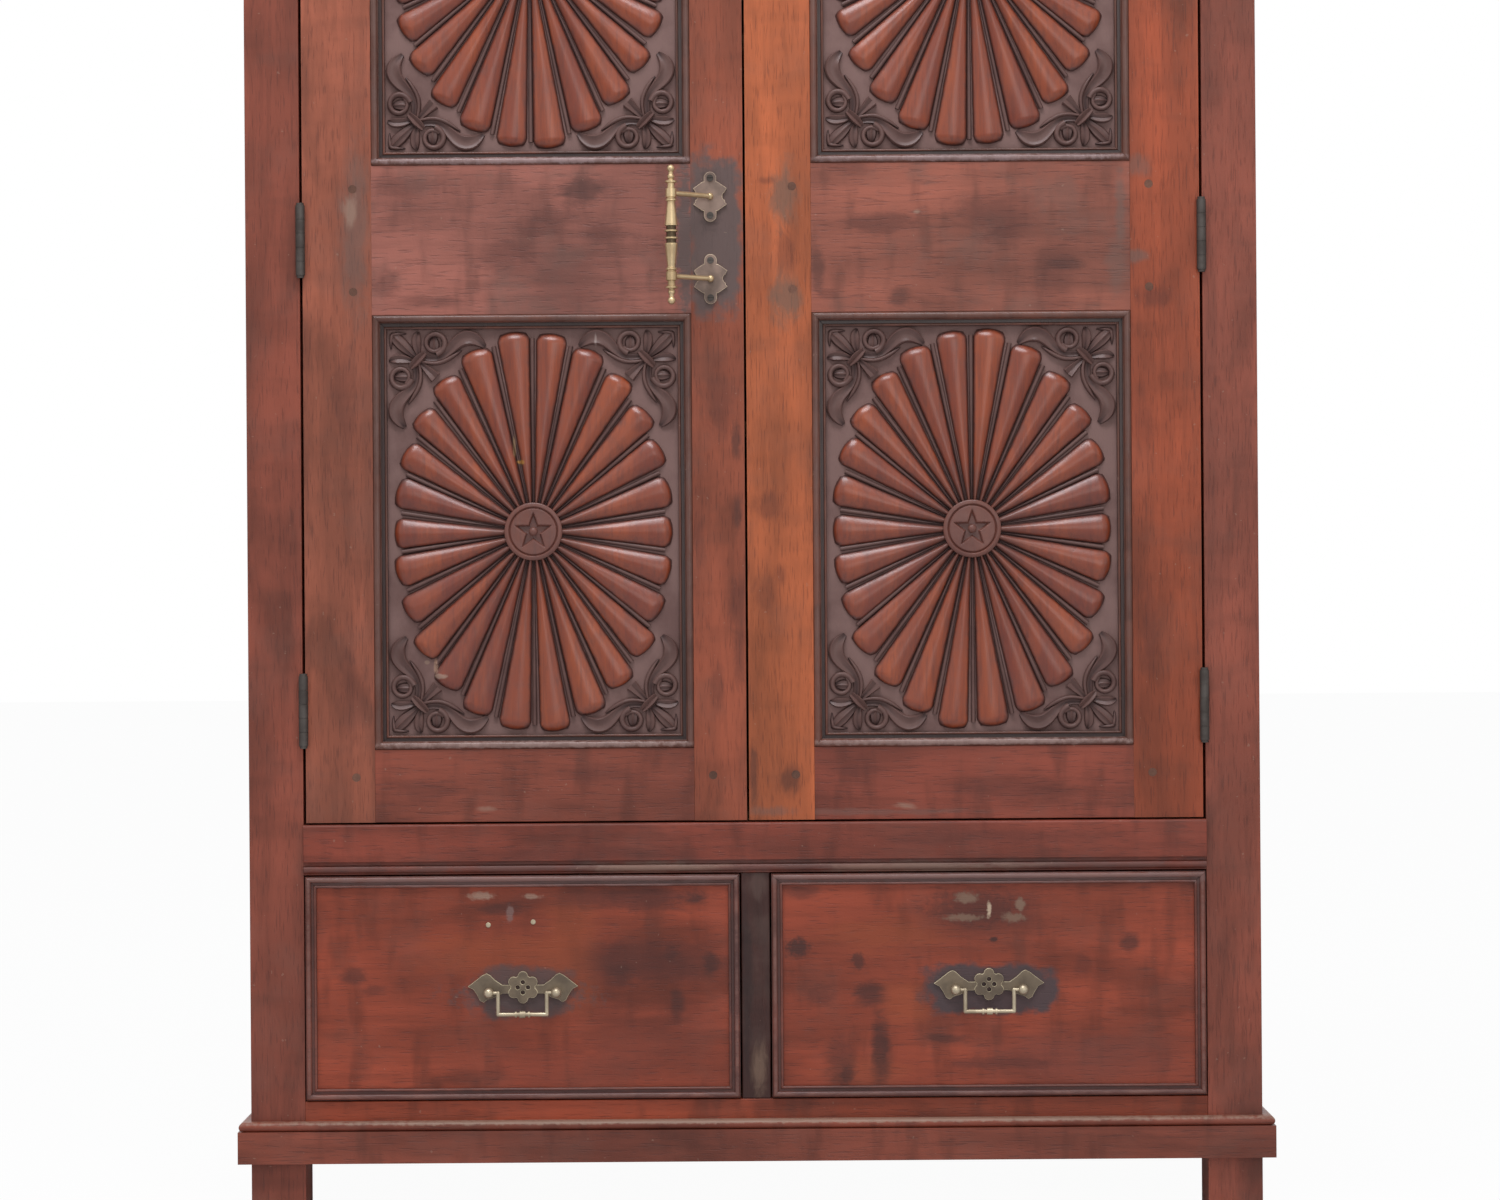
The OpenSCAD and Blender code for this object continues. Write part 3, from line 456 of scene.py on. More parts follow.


# Marks, stained patches, scars, and painted highlights and shade on the front, as Finish.patch takes them
LEFT_DRAWER_MARKS = [
    (-198, 277, 26, 57, 0.55, WARM), (-277, 282, 69, 20, 0.5, WARM), (-133, 342, 86, 11, 0.7, DARK),
    (-66, 339, 14, 6, 0.75, BLACK), (-111, 272, 76, 20, 0.7, DARK), (-48, 271, 9, 12, 0.7, BLACK),
    (-92, 280, 8, 8, 0.4, BLACK), (-143, 260, 12, 9, 0.35, BLACK), (-84, 225, 6, 15, 0.6, BLACK),
    (-110, 190, 70, 36, 0.4, DARK), (-204, 159, 93, 22, 0.35, DARK), (-430, 258, 11, 7, 0.6, BLACK),
    (-407, 243, 11, 5, 0.5, BLACK), (-272, 328, 20, 6, 0.6, BLACK)]
LEFT_DRAWER_STAINS = [
    (-249, 241, 50, 26, 0.8, STAIN), (-249, 237, 64, 16, 0.7, STAIN),
    (-263, 326, 3.6, 8.5, 0.75, tone(128, 100, 94)), (-294, 344, 12, 4, 0.7, PALE),
    (-239, 343, 9, 2.5, 0.6, PALE)]
RIGHT_DRAWER_MARKS = [
    (138, 300, 59, 16, 0.5, WARM), (161, 228, 23, 20, 0.6, WARM), (117, 154, 41, 14, 0.35, WARM),
    (349, 166, 94, 26, 0.4, tone(108, 64, 58)), (51, 345, 13, 7, 0.6, BLACK), (121, 237, 15, 11, 0.85, BLACK),
    (133, 178, 9, 32, 0.85, BLACK), (89, 165, 15, 27, 0.6, BLACK), (71, 234, 13, 9, 0.5, DARK),
    (198, 188, 24, 4, 0.7, BLACK), (265, 161, 43, 6, 0.6, DARK), (401, 290, 9, 9, 0.8, BLACK),
    (246, 326, 54, 22, 0.6, DARK), (350, 268, 8, 12, 0.4, DARK)]
RIGHT_DRAWER_STAINS = [
    (45, 286, 12, 10, 0.75, BLACK), (110, 271, 7, 9, 0.6, BLACK), (96, 150, 8, 10, 0.5, BLACK),
    (255, 294, 4, 2.5, 0.8, BLACK), (236, 327, 44, 17, 0.4, BLACK), (226, 338, 11, 5.5, 0.75, SCUFF),
    (222, 317, 18, 3.6, 0.7, SCUFF), (283, 331, 5, 6, 0.85, SCUFF), (276, 317, 11, 4.5, 0.7, SCUFF),
    (250, 325, 2.2, 8, 0.9, tone(196, 172, 146)), (250, 241, 70, 26, 0.95, tone(74, 63, 65))]
LEFT_LOCK_RAIL_MARKS = [
    (-178, 1099, 26, 13, 0.75, BLACK), (-159, 1052, 19, 11, 0.55, DARK), (-264, 1027, 26, 17, 0.5, DARK),
    (-355, 1104, 34, 11, 0.4, DARK), (-222, 1064, 32, 13, 0.4, DARK), (-199, 1000, 30, 32, 0.35, DARK),
    (-344, 981, 27, 5, 0.5, DARK), (-391, 998, 13, 13, 0.5, DARK)]
PULL_STAIN = tone(95, 80, 77)
LEFT_LOCK_RAIL_STAINS = [(-71, 1048, 8, 80, 0.9, PULL_STAIN)]
LEFT_MEETING_STILE_STAINS = [(-38, 1049, 28, 82, 0.95, PULL_STAIN), (-44, 1088, 12, 30, 0.3, BLACK),
                             (-61, 1018, 2.5, 5, 0.6, GREY), (-57, 1006, 3, 5, 0.5, GREY)]
RIGHT_LOCK_RAIL_MARKS = [
    (134, 1062, 34, 9, 0.6, DARK), (263, 1071, 39, 19, 0.55, DARK), (273, 1048, 21, 13, 0.5, DARK),
    (323, 998, 19, 32, 0.45, DARK), (337, 1016, 15, 5, 0.5, BLACK), (71, 1011, 6, 24, 0.6, BLACK),
    (81, 985, 10, 5, 0.5, DARK), (157, 982, 9, 10, 0.6, BLACK), (396, 1079, 5, 32, 0.7, GREY),
    (391, 1012, 9, 27, 0.5, GREY), (178, 1073, 4, 2, 0.7, PALE), (107, 1121, 19, 7, 0.5, DARK)]
LEFT_HINGE_STILE_MARKS = [
    (-423, 1059, 15, 75, 0.7, GREY), (-429, 1077, 6, 15, 0.6, PALE), (-435, 876, 11, 43, 0.4, DARK),
    (-432, 554, 13, 54, 0.4, DARK)]
LEFT_MEETING_STILE_MARKS = [
    (-37, 872, 15, 32, 0.45, DARK), (-17, 824, 4, 19, 0.7, BLACK),
    (-17, 756, 4, 19, 0.7, BLACK), (-18, 665, 10, 27, 0.5, DARK), (-16, 600, 6, 27, 0.5, DARK),
    (-39, 565, 6, 21, 0.4, DARK), (-57, 720, 6, 27, 0.4, DARK)]
RIGHT_MEETING_STILE_MARKS = [
    (36, 1091, 13, 30, 0.95, tone(112, 88, 74)), (15, 1107, 10, 4, 0.5, DARK),
    (37, 982, 14, 26, 0.95, tone(112, 88, 74)), (39, 1030, 9, 24, 0.5, DARK),
    (18, 759, 15, 13, 0.5, DARK), (30, 686, 6, 11, 0.5, DARK), (12, 665, 13, 16, 0.4, DARK),
    (-1, 473, 4, 32, 0.7, BLACK), (40, 465, 11, 13, 0.7, BLACK), (17, 432, 24, 5, 0.6, GREY)]
RIGHT_HINGE_STILE_MARKS = [
    (414, 1120, 13, 11, 0.6, GREY), (411, 1025, 14, 6, 0.8, GREY), (431, 980, 16, 10, 0.5, DARK),
    (420, 848, 11, 32, 0.4, DARK), (424, 634, 9, 43, 0.4, DARK)]
LEFT_END_RAIL_MARKS = [
    (-288, 437, 9, 3, 0.5, PALE), (-353, 458, 32, 11, 0.4, DARK), (-165, 472, 37, 9, 0.4, DARK)]
RIGHT_END_RAIL_MARKS = [
    (147, 431, 102, 3, 0.5, GREY), (161, 437, 13, 4, 0.6, PALE), (268, 453, 54, 11, 0.35, DARK),
    (113, 476, 27, 6, 0.4, DARK)]
DIVIDER_MARKS = [
    (3, 160, 7, 24, 0.7, SCUFF), (1, 354, 10, 15, 0.4, GREY), (-9, 250, 5, 80, 0.7, tone(40, 28, 27))]
# pale line along the base moulding's top edge: a painted highlight
BASE_TOP_HIGHLIGHT = [(0, 103, 560, 2.4, 0.7, PALE)]
# painted light on the drawer mouldings: the lighter top is a painted highlight, the darker bottoms and inner
# ends by the divider are painted shade
DRAWER_MOULDING_LIGHT_AND_SHADE = [
    (-249, 360, 235, 6, 0.8, tone(128, 102, 98)), (249, 360, 235, 6, 0.8, tone(128, 102, 98)),
    (-22.5, 246, 6, 112, 0.8, tone(74, 50, 48)), (22.5, 246, 6, 112, 0.6, tone(88, 58, 52)),
    (-249, 132, 235, 5.5, 0.8, tone(78, 52, 50)), (249, 132, 235, 5.5, 0.8, tone(78, 52, 50))]
# pale strips along the bottom beads' upper sides: painted highlights where the overhead light falls
PANEL_BEAD_HIGHLIGHTS = [
    (-235, 505.5, 172, 3.2, 0.75, tone(162, 134, 126)), (235, 505.5, 172, 3.2, 0.75, tone(162, 134, 126)),
    (-235, 1130.5, 172, 3.2, 0.8, tone(160, 134, 132)), (235, 1130.5, 172, 3.2, 0.7, tone(160, 134, 132))]
LEFT_CARVING_SCARS = [
    (-341, 590, 2.5, 8, 0.75, tone(176, 140, 118)), (-336, 579, 6, 2.5, 0.7, PALE),
    (-350, 594, 3, 2, 0.5, PALE), (-167, 938, 1.2, 7, 0.4, tone(176, 158, 150)),
    (-249, 808, 4, 2, 0.8, tone(180, 132, 62)), (-255, 824, 1.6, 11, 0.5, tone(160, 130, 92))]
# the first band, dark along the hollow under the rail, is a painted shadow; the others are worn pale spots and
# dark patches
MID_RAIL_MARKS_AND_SHADOW = [
    (0, 374, 520, 6, 0.7, tone(92, 74, 70)), (-120, 374, 60, 5, 0.5, PALE), (180, 372, 90, 5, 0.4, PALE),
    (-200, 388, 140, 7, 0.4, DARK), (260, 404, 120, 7, 0.35, DARK)]

CASE_WOOD = shades(132, 69, 53)
DRAWER_WOOD = shades(143, 65, 44)
RAIL_WOOD = shades(128, 66, 50)
INSIDE_WOOD = shades(136, 98, 70)
MOULDING_WOOD = shades(100, 58, 45)

# Hollows and crests of the mouldings: low y, high y in mm, colour; the hollows' colour is a painted shade, the
# crests' is wear
PANEL_HOLLOW = (-200.1, -201.3, tone(58, 40, 37))
PANEL_CREST = (-206.6, -208.3, tone(108, 78, 70))
DRAWER_HOLLOW = (-207.0, -210.0, tone(66, 42, 38))
DRAWER_CREST = (-211.4, -212.1, tone(134, 98, 88))

# The middle grooves of the door pull, which get a painted shade: x, y, z, half height, dark radius, bright
# radius in mm
PULL_GROOVES = (-84.25, -247, 1046, 10, 5.4, 6.5)

finishes = {
    "left_lock_rail": wood("left_lock_rail_wood", "X", shades(142, 87, 75), 1, LEFT_LOCK_RAIL_MARKS,
                           LEFT_LOCK_RAIL_STAINS, patches=0.4, painted_sheen=0.4),
    "right_lock_rail": wood("right_lock_rail_wood", "X", shades(140, 80, 64), 2, RIGHT_LOCK_RAIL_MARKS,
                            patches=0.45, painted_sheen=0.35),
    "left_hinge_stile": wood("left_hinge_stile_wood", "Z", shades(148, 83, 62), 3, LEFT_HINGE_STILE_MARKS,
                             rippled=0.18),
    "left_meeting_stile": wood("left_meeting_stile_wood", "Z", shades(140, 72, 50), 4,
                               LEFT_MEETING_STILE_MARKS, LEFT_MEETING_STILE_STAINS, patches=0.5,
                               rippled=0.18),
    "right_meeting_stile": wood("right_meeting_stile_wood", "Z", shades(170, 90, 54), 5,
                                RIGHT_MEETING_STILE_MARKS, patches=0.42, rippled=0.18),
    "right_hinge_stile": wood("right_hinge_stile_wood", "Z", shades(148, 70, 43), 6, RIGHT_HINGE_STILE_MARKS,
                              patches=0.55, rippled=0.18),
    "left_end_rails": wood("left_end_rail_wood", "X", shades(131, 67, 51), 7, LEFT_END_RAIL_MARKS),
    "right_end_rails": wood("right_end_rail_wood", "X", shades(127, 62, 47), 8, RIGHT_END_RAIL_MARKS),
    "left_drawer": wood("left_drawer_wood", "X", DRAWER_WOOD, 9, LEFT_DRAWER_MARKS, LEFT_DRAWER_STAINS,
                        patches=0.65),
    "right_drawer": wood("right_drawer_wood", "X", DRAWER_WOOD, 10, RIGHT_DRAWER_MARKS, RIGHT_DRAWER_STAINS,
                         patches=0.55),
    "mid_rail": wood("mid_rail_wood", "X", shades(128, 61, 46), 11, MID_RAIL_MARKS_AND_SHADOW),
    "divider": wood("divider_wood", "Z", shades(62, 35, 30), 12, DIVIDER_MARKS, painted_sheen=0.3),
    "posts": wood("post_wood", "Z", CASE_WOOD, 13, rippled=0.2),
    "rails": wood("case_rail_wood", "X", RAIL_WOOD, 14, rippled=0.15),
    "bottom_rail": wood("bottom_rail_wood", "X", shades(146, 66, 42), 23),
    "sides": wood("side_wood", "Z", CASE_WOOD, 15, patches=0.4, rippled=0.1),
    "side_rails": wood("side_rail_wood", "Y", RAIL_WOOD, 16, patches=0.4, rippled=0.1),
    "panel_moulding": wood("panel_moulding_wood", "Z", MOULDING_WOOD, 17, stains_and_highlights=PANEL_BEAD_HIGHLIGHTS,
                           painted_sheen=0.2, rough=0.36, coat=0.35, coat_rough=0.2, depth=PANEL_HOLLOW,
                           crest=PANEL_CREST),
    "drawer_moulding": wood("drawer_moulding_wood", "X", shades(114, 62, 50), 18, DRAWER_MOULDING_LIGHT_AND_SHADE,
                            painted_sheen=0.15, rough=0.34, coat=0.3, depth=DRAWER_HOLLOW, crest=DRAWER_CREST),
    "base_moulding": wood("base_moulding_wood", "X", RAIL_WOOD, 19, stains_and_highlights=BASE_TOP_HIGHLIGHT, rough=0.36),
    "inside": wood("inside_wood", "X", INSIDE_WOOD, 20, rough=0.6, patches=0.4, coat=0.0, rippled=0.1),
    "back": wood("back_board_wood", "Z", shades(122, 86, 64), 21, rough=0.62, patches=0.4, coat=0.0,
                 rippled=0.1),
    "pegs": wood("peg_wood", "Y", shades(108, 74, 60), 22, rough=0.55, coat=0.0),
    "left_carving": carving_finish("left_carving_wood", 1, LEFT_CARVING_SCARS),
    "right_carving": carving_finish("right_carving_wood", 2),
    "pull_brass": metal("turned_brass", tone(206, 181, 141), tone(146, 119, 84), 0.75, 0.28, PULL_GROOVES),
    "handle_brass": metal("handle_brass", tone(192, 178, 152), tone(128, 112, 92), 0.75, 0.32),
    "pull_plate": metal("plate_brass", tone(224, 202, 172), tone(140, 118, 106), 0.5, 0.4, rimmed=True),
    "handle_plate": metal("dark_plate_brass", tone(212, 198, 166), tone(122, 107, 88), 0.5, 0.42,
                          rimmed=True),
    "iron": metal("dark_iron", tone(88, 82, 78), tone(58, 50, 46), 0.8, 0.5),
}


# Pieces that keep a node's form, with worn edges

def eased(node, ease, finish, segments=2):
    """A copy of a node's form with its sharp edges rounded by use."""
    form = bpy.data.objects.new(node + "_worn", frame["nodes"][node].data.copy())
    bpy.context.scene.collection.objects.link(form)
    take(form)
    bpy.ops.object.mode_set(mode="EDIT")
    bpy.ops.mesh.select_all(action="SELECT")
    bpy.ops.mesh.remove_doubles(threshold=MERGE_GAP)
    bpy.ops.mesh.dissolve_limited(angle_limit=math.radians(1))
    close_edit()
    modify(form, "BEVEL", width=ease * MM, segments=segments, limit_method="ANGLE", angle_limit=SHARP_EDGE)
    smooth(form, 38)
    modify(form, "WEIGHTED_NORMAL", weight=100, keep_sharp=True)
    stand_for(form, node, finish)
    return form


def mark_rims(plate):
    """Notes which faces of a plate are rims: those that don't look straight to the front."""
    # the rims get a painted highlight in the plate's finish
    rim = plate.data.attributes.new("rim", "FLOAT", "FACE")
    for face in plate.data.polygons:
        rim.data[face.index].value = 0.0 if face.normal.y < -STRAIGHT else 1.0


for side in ("left", "right"):
    eased(side + "_hinge_stile", 1.4, finishes[side + "_hinge_stile"])
    eased(side + "_meeting_stile", 1.4, finishes[side + "_meeting_stile"])
    eased(side + "_top_rail", 1.2, finishes[side + "_end_rails"])
    eased(side + "_lock_rail", 1.2, finishes[side + "_lock_rail"])
    eased(side + "_bottom_rail", 1.2, finishes[side + "_end_rails"])
    eased(side + "_panel_mouldings", 0.5, finishes["panel_moulding"])
    eased(side + "_drawer_front", 1.0, finishes[side + "_drawer"])
    eased(side + "_drawer_moulding", 0.5, finishes["drawer_moulding"])
    mark_rims(eased(side + "_handle_plate", 1.2, finishes["handle_plate"]))
    for end in ("front", "back"):
        eased(f"{end}_{side}_post", 1.8, finishes["posts"])

eased("top_front_rail", 1.2, finishes["rails"])
eased("mid_front_rail", 0.8, finishes["mid_rail"])
eased("bottom_front_rail", 1.2, finishes["bottom_rail"])
eased("drawer_divider", 1.5, finishes["divider"])
eased("side_rails", 1.4, finishes["side_rails"])
eased("top_board", 2.2, finishes["rails"], segments=3)
eased("cornice", 0.8, finishes["base_moulding"])
eased("base_moulding", 0.8, finishes["base_moulding"])
eased("shelves", 1.2, finishes["inside"])
mark_rims(eased("door_pull_plates", 1.4, finishes["pull_plate"]))


# Carved panels: the model lies at the origin, ground at y = 0, relief towards -Y

def petal_angle(step, rx, rz):
    """Where a petal points: about even steps along the ellipse of the petals' ends."""
    turn = 2 * math.pi * step / PETALS
    lead = math.atan2((rz - rx) * math.sin(turn) * math.cos(turn),
                      rx * math.cos(turn) ** 2 + rz * math.sin(turn) ** 2)
    return turn + lead / 2


def petal_reach(turn, rx, rz):
    return 1 / math.hypot(math.cos(turn) / rx, math.sin(turn) / rz)


def rub(piece, start, end, least, most, tint=0.5):
    """Hands polish a form: least at one distance from the panel's middle, in mm, and most at another."""
    polish = piece.data.attributes.new("polish", "FLOAT", "POINT")
    colour = piece.data.attributes.new("tint", "FLOAT", "POINT")
    for vertex in piece.data.vertices:
        away = math.hypot(vertex.co.x, vertex.co.z) / MM
        share = min(max((away - start) / (end - start), 0), 1)
        polish.data[vertex.index].value = least + (most - least) * share
        colour.data[vertex.index].value = tint


def petal(step, rx, rz):
    """A blunt, round-backed petal that narrows to the boss."""
    turn = petal_angle(step, rx, rz)
    half_pitch = (petal_angle(step + 0.5, rx, rz) - petal_angle(step - 0.5, rx, rz)) / 2
    reach = petal_reach(turn, rx, rz)
    room = (reach - PETAL_END_L) * math.tan(half_pitch) - GROOVE_W / 2
    half = min(PETAL_W / 2, room) * hand.uniform(0.98, 1.06)
    reach += hand.uniform(-1.5, 1.0)
    height = PETAL_H + hand.uniform(-0.5, 0.2)
    tip = BOSS_R * math.tan(half_pitch) - BOSS_GROOVE_W / 2
    end = 0.66 * half
    length = (reach - end - (BOSS_R - 4)) / end
    clear_selection()
    bpy.ops.mesh.primitive_uv_sphere_add(segments=40, ring_count=20, radius=1, rotation=(0, math.pi / 2, 0))
    piece = settle(bpy.context.object)
    modify(piece, "CAST", cast_type="CUBOID", factor=0.3, use_y=False)
    pick(piece, "VERT", lambda v: True)
    bpy.ops.mesh.bisect(plane_co=(0, -BACK_CUT, 0), plane_no=(0, 1, 0), use_fill=True, clear_outer=True)
    close_edit()
    piece.location.y = BACK_CUT
    settle(piece)
    piece.scale = [1 / max(abs(v.co[axis]) for v in piece.data.vertices) for axis in range(3)]
    settle(piece)
    pick(piece, "VERT", lambda v: v.co.x < -0.05)
    bpy.ops.transform.resize(value=(0.5 * tip / end, PETAL_TIP_H / height, tip / half),
                             center_override=(0, 0, 0))
    bpy.ops.transform.translate(value=(-length, 0, 0))
    close_edit()
    pick(piece, "EDGE", lambda e: abs(piece.data.vertices[e.vertices[0]].co.x
                                      - piece.data.vertices[e.vertices[1]].co.x) > 0.6 * length)
    bpy.ops.mesh.subdivide(number_cuts=11)
    close_edit()
    piece.scale = (end * MM, (height + FOOT_DEPTH) * MM, half * MM)
    settle(piece)
    piece.location = ((reach - end) * MM, FOOT_DEPTH * MM, 0)
    settle(piece)
    rub(piece, 1.2 * BOSS_R, 2.6 * BOSS_R, 0.35, 1.0, hand.random())
    piece.rotation_euler.y = -(turn + math.radians(hand.uniform(-0.5, 0.5)))
    return settle(piece)


def star_depth(x, z):
    """Depth of the hollow star, in mm, at a place on the boss."""
    away = math.hypot(x, z)
    arm = 2 * math.pi / STAR_POINTS
    aside = (math.atan2(z, x) - math.pi / 2 + arm / 2) % arm - arm / 2
    half = STAR_ARM_W / 2 * (STAR_R - away) / (STAR_R - BUTTON_R)
    return STAR_DEPTH * min(max((half - abs(away * math.sin(aside))) / STAR_WALL_W, 0), 1)


def boss():
    """A round boss with a ring groove, a hollowed star and a button."""
    clear_selection()
    bpy.ops.mesh.primitive_cylinder_add(vertices=120, radius=BOSS_R * MM, depth=2 * BOSS_H * MM,
                                        rotation=(math.pi / 2, 0, 0))
    piece = settle(bpy.context.object)
    pick(piece, "FACE", lambda p: p.normal.y < -0.9)
    for width, rise in BOSS_RINGS:
        bpy.ops.mesh.inset(thickness=width * MM, depth=rise * MM)
    close_edit()
    for vertex in piece.data.vertices:
        if vertex.co.y < 0:
            vertex.co.y += star_depth(vertex.co.x / MM, vertex.co.z / MM) * MM
    modify(piece, "BEVEL", width=0.4 * MM, segments=2, limit_method="ANGLE", angle_limit=SHARP_EDGE)
    clear_selection()
    bpy.ops.mesh.primitive_uv_sphere_add(segments=24, ring_count=12, radius=BUTTON_R * MM)
    button = bpy.context.object
    button.scale.y = BUTTON_FLATNESS
    button.location.y = -(BOSS_H - BUTTON_SINK) * MM
    settle(button)
    for part in (piece, button):
        rub(part, 0, BOSS_R, 0.3, 0.3)
    return [piece, button]


def even_section(*half):
    """A carved ridge's section, from the half that ends in its middle. Points are (share of the half width,
    share of the height)."""
    return list(half) + [(-across, up) for across, up in reversed(half[:-1])]


ROUND_BACK = even_section((-1, -0.3), (-0.97, 0.25), (-0.8, 0.65), (-0.45, 0.92), (0, 1))
HOLLOW_BACK = even_section((-1, -0.3), (-1, 0.45), (-0.9, 0.85), (-0.74, 1), (-0.5, 0.86), (0, 0.6))
RIBBED_BACK = even_section((-1, -0.3), (-0.97, 0.35), (-0.75, 0.7), (-0.3, 0.68), (-0.14, 0.85), (0, 1))


def stroke(points, lift, back=ROUND_BACK):
    """A carved ridge along a smooth path in the panel's plane. Points are (across, up, half width) in mm."""
    section = bpy.data.curves.new("section", "CURVE")
    section.dimensions = "2D"
    edge = section.splines.new("POLY")
    edge.points.add(len(back) - 1)
    edge.use_cyclic_u = True
    for point, (across, up) in zip(edge.points, back):
        point.co = (across * MM, up * MM, 0, 1)
    cutter = bpy.data.objects.new("section", section)
    bpy.context.scene.collection.objects.link(cutter)
    path = bpy.data.curves.new("ridge", "CURVE")
    path.dimensions = "2D"
    path.fill_mode = "NONE"
    path.bevel_mode = "OBJECT"
    path.bevel_object = cutter
    path.use_fill_caps = True
    path.resolution_u = 6
    line = path.splines.new("NURBS")
    line.points.add(len(points) - 1)
    for point, (across, up, half) in zip(line.points, points):
        point.co = (across * MM, up * MM, 0, 1)
        point.radius = half
    line.order_u = min(4, len(points))
    line.use_endpoint_u = True
    ridge = bpy.data.objects.new("ridge", path)
    bpy.context.scene.collection.objects.link(ridge)
    take(ridge)
    bpy.ops.object.convert(target="MESH")
    ridge = bpy.context.object
    bpy.data.objects.remove(cutter)
    ridge.rotation_euler.x = math.pi / 2
    settle(ridge)
    ridge.scale.y = lift / max(half for across, up, half in points)
    settle(ridge)
    face_outwards(ridge)
    return ridge


def rib(step, rx, rz):
    """The thin ridge left standing in the groove between two petals."""
    turn = petal_angle(step + 0.5, rx, rz)
    reach = petal_reach(turn, rx, rz)
    stations = ((BOSS_R - 1, 1.0), (0.45 * reach, 1.8), (0.75 * reach, 2.6), (reach - 9, 2.6))
    return stroke([(away * math.cos(turn), away * math.sin(turn), half) for away, half in stations], RIB_H)


def volute_path(u, v, radius, start, turns, half):
    """Points of a spiral that winds inwards."""
    steps = int(abs(turns) * 12)
    path = []
    for k in range(steps + 1):
        share = k / steps
        turn = start + share * turns * 2 * math.pi
        r = radius * (1 - 0.3 * share)
        path.append((u + r * math.cos(turn), v + r * math.sin(turn), half * (1 - 0.35 * share)))
    return path


def spray():
    """One corner: two scooped leaves with rings under their stems, tied at the diagonal, with smaller leaves
    and a trumpet bud. Points are from the corner of the carved field, along the rail and along the stile."""
    half_of_it = [
        stroke([(35, 29, 3.0), (46, 32, 3.4), (57, 31, 3.8), (66, 24.5, 5.0), (73, 16, 7.0), (81, 10, 8.4),
                (90, 8.5, 8.6), (98, 12, 6.8), (105, 19, 2.4)], 7.2, HOLLOW_BACK),
        stroke([(38, 34.5, 1.8), (50, 37.5, 2.4), (62, 35, 2.6), (72, 28.5, 2.4), (80, 22.5, 1.0)], 6.2),
        stroke([(75, 20, 0.8), (83, 14.5, 1.8), (92, 13.5, 1.8), (98, 17, 0.6)], 6.6),
        stroke(volute_path(51.4, 15, 12.2, math.radians(80), -1.12, 3.6), 6.6),
        stroke([(50, 25, 3.0), (51, 20, 7.6), (51, 13, 6.8), (50, 6, 1.2)], 5.8, RIBBED_BACK),
        stroke([(34, 27, 2.4), (32, 20, 4.8), (31, 11, 6.0), (32.5, 5, 4.0), (34, 2, 1.0)], 6.2, HOLLOW_BACK),
        stroke([(21, 4.5, 0.8), (13, 4, 2.4), (7, 4.6, 2.8), (3.5, 7, 1.4)], 5.2),
    ]
    twins = []
    for piece in half_of_it:
        twin = copy_of(piece)
        for vertex in twin.data.vertices:
            vertex.co.x, vertex.co.z = vertex.co.z, vertex.co.x
        face_outwards(twin)
        twins.append(twin)
    middle = [
        stroke([(25, 41, 3.0), (29, 37, 4.4), (33, 33, 5.0), (37, 29, 4.4), (41, 25, 3.0)], 8.0, HOLLOW_BACK),
        stroke([(30, 29, 3.0), (22, 21.5, 6.4), (14, 14, 8.0), (8, 8, 6.2), (4, 4, 1.6)], 6.4, RIBBED_BACK),
        stroke([(36, 36, 2.8), (42, 42, 3.8), (48, 48, 6.0), (52, 52, 6.6)], 6.8, HOLLOW_BACK),
    ]
    return join("spray", half_of_it + twins + middle)


def carve(field_w, field_h):
    """The petals, their ribs and four corner sprays, as one piece."""
    rx = field_w / 2 - PETAL_SIDE_GAP
    rz = field_h / 2 - PETAL_TOP_GAP
    pieces = [petal(k, rx, rz) for k in range(PETALS)] + [rib(k, rx, rz) for k in range(PETALS)]
    corner = spray()
    for across in (1, -1):
        for up in (1, -1):
            twin = copy_of(corner)
            twin.scale = (across, 1, up)
            twin.location = (-across * field_w / 2 * MM, 0, -up * field_h / 2 * MM)
            settle(twin)
            face_outwards(twin)
            pieces.append(twin)
    bpy.data.objects.remove(corner)
    return join("rosette", pieces)


def ground_board(low, high, ground):
    """The panel's board; its face keeps the marks of the gouge."""
    middle = (low + high) / 2
    clear_selection()
    bpy.ops.mesh.primitive_cube_add(size=1, location=(middle.x, (ground + high.y) / 2, middle.z),
                                    scale=(high.x - low.x, high.y - ground, high.z - low.z))
    piece = settle(bpy.context.object)
    pick(piece, "FACE", lambda p: p.normal.y < -0.9)
    bpy.ops.mesh.subdivide(number_cuts=80)
    close_edit()
    face = piece.vertex_groups.new(name="face")
    face.add([v.index for v in piece.data.vertices if v.co.y < ground + 0.0001], 1.0, "REPLACE")
    gouge = bpy.data.textures.new("gouge", "CLOUDS")
    gouge.noise_scale = 0.008
    modify(piece, "DISPLACE", texture=gouge, strength=GOUGE_H * MM, mid_level=0.5, direction="Y",
           vertex_group="face", texture_coords="LOCAL")
    piece.vertex_groups.clear()
    return piece


opening_low, opening_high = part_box("left_panel_mouldings")
opening_w = (opening_high.x - opening_low.x) / MM
panel_low, panel_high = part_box("left_lower_panel")
tongue = ((panel_high.x - panel_low.x) / MM - opening_w) / 2
opening_h = (panel_high.z - panel_low.z) / MM - 2 * tongue
rosette = carve(opening_w - 2 * MOULDING_W, opening_h - 2 * MOULDING_W)
hub = join("boss", boss())

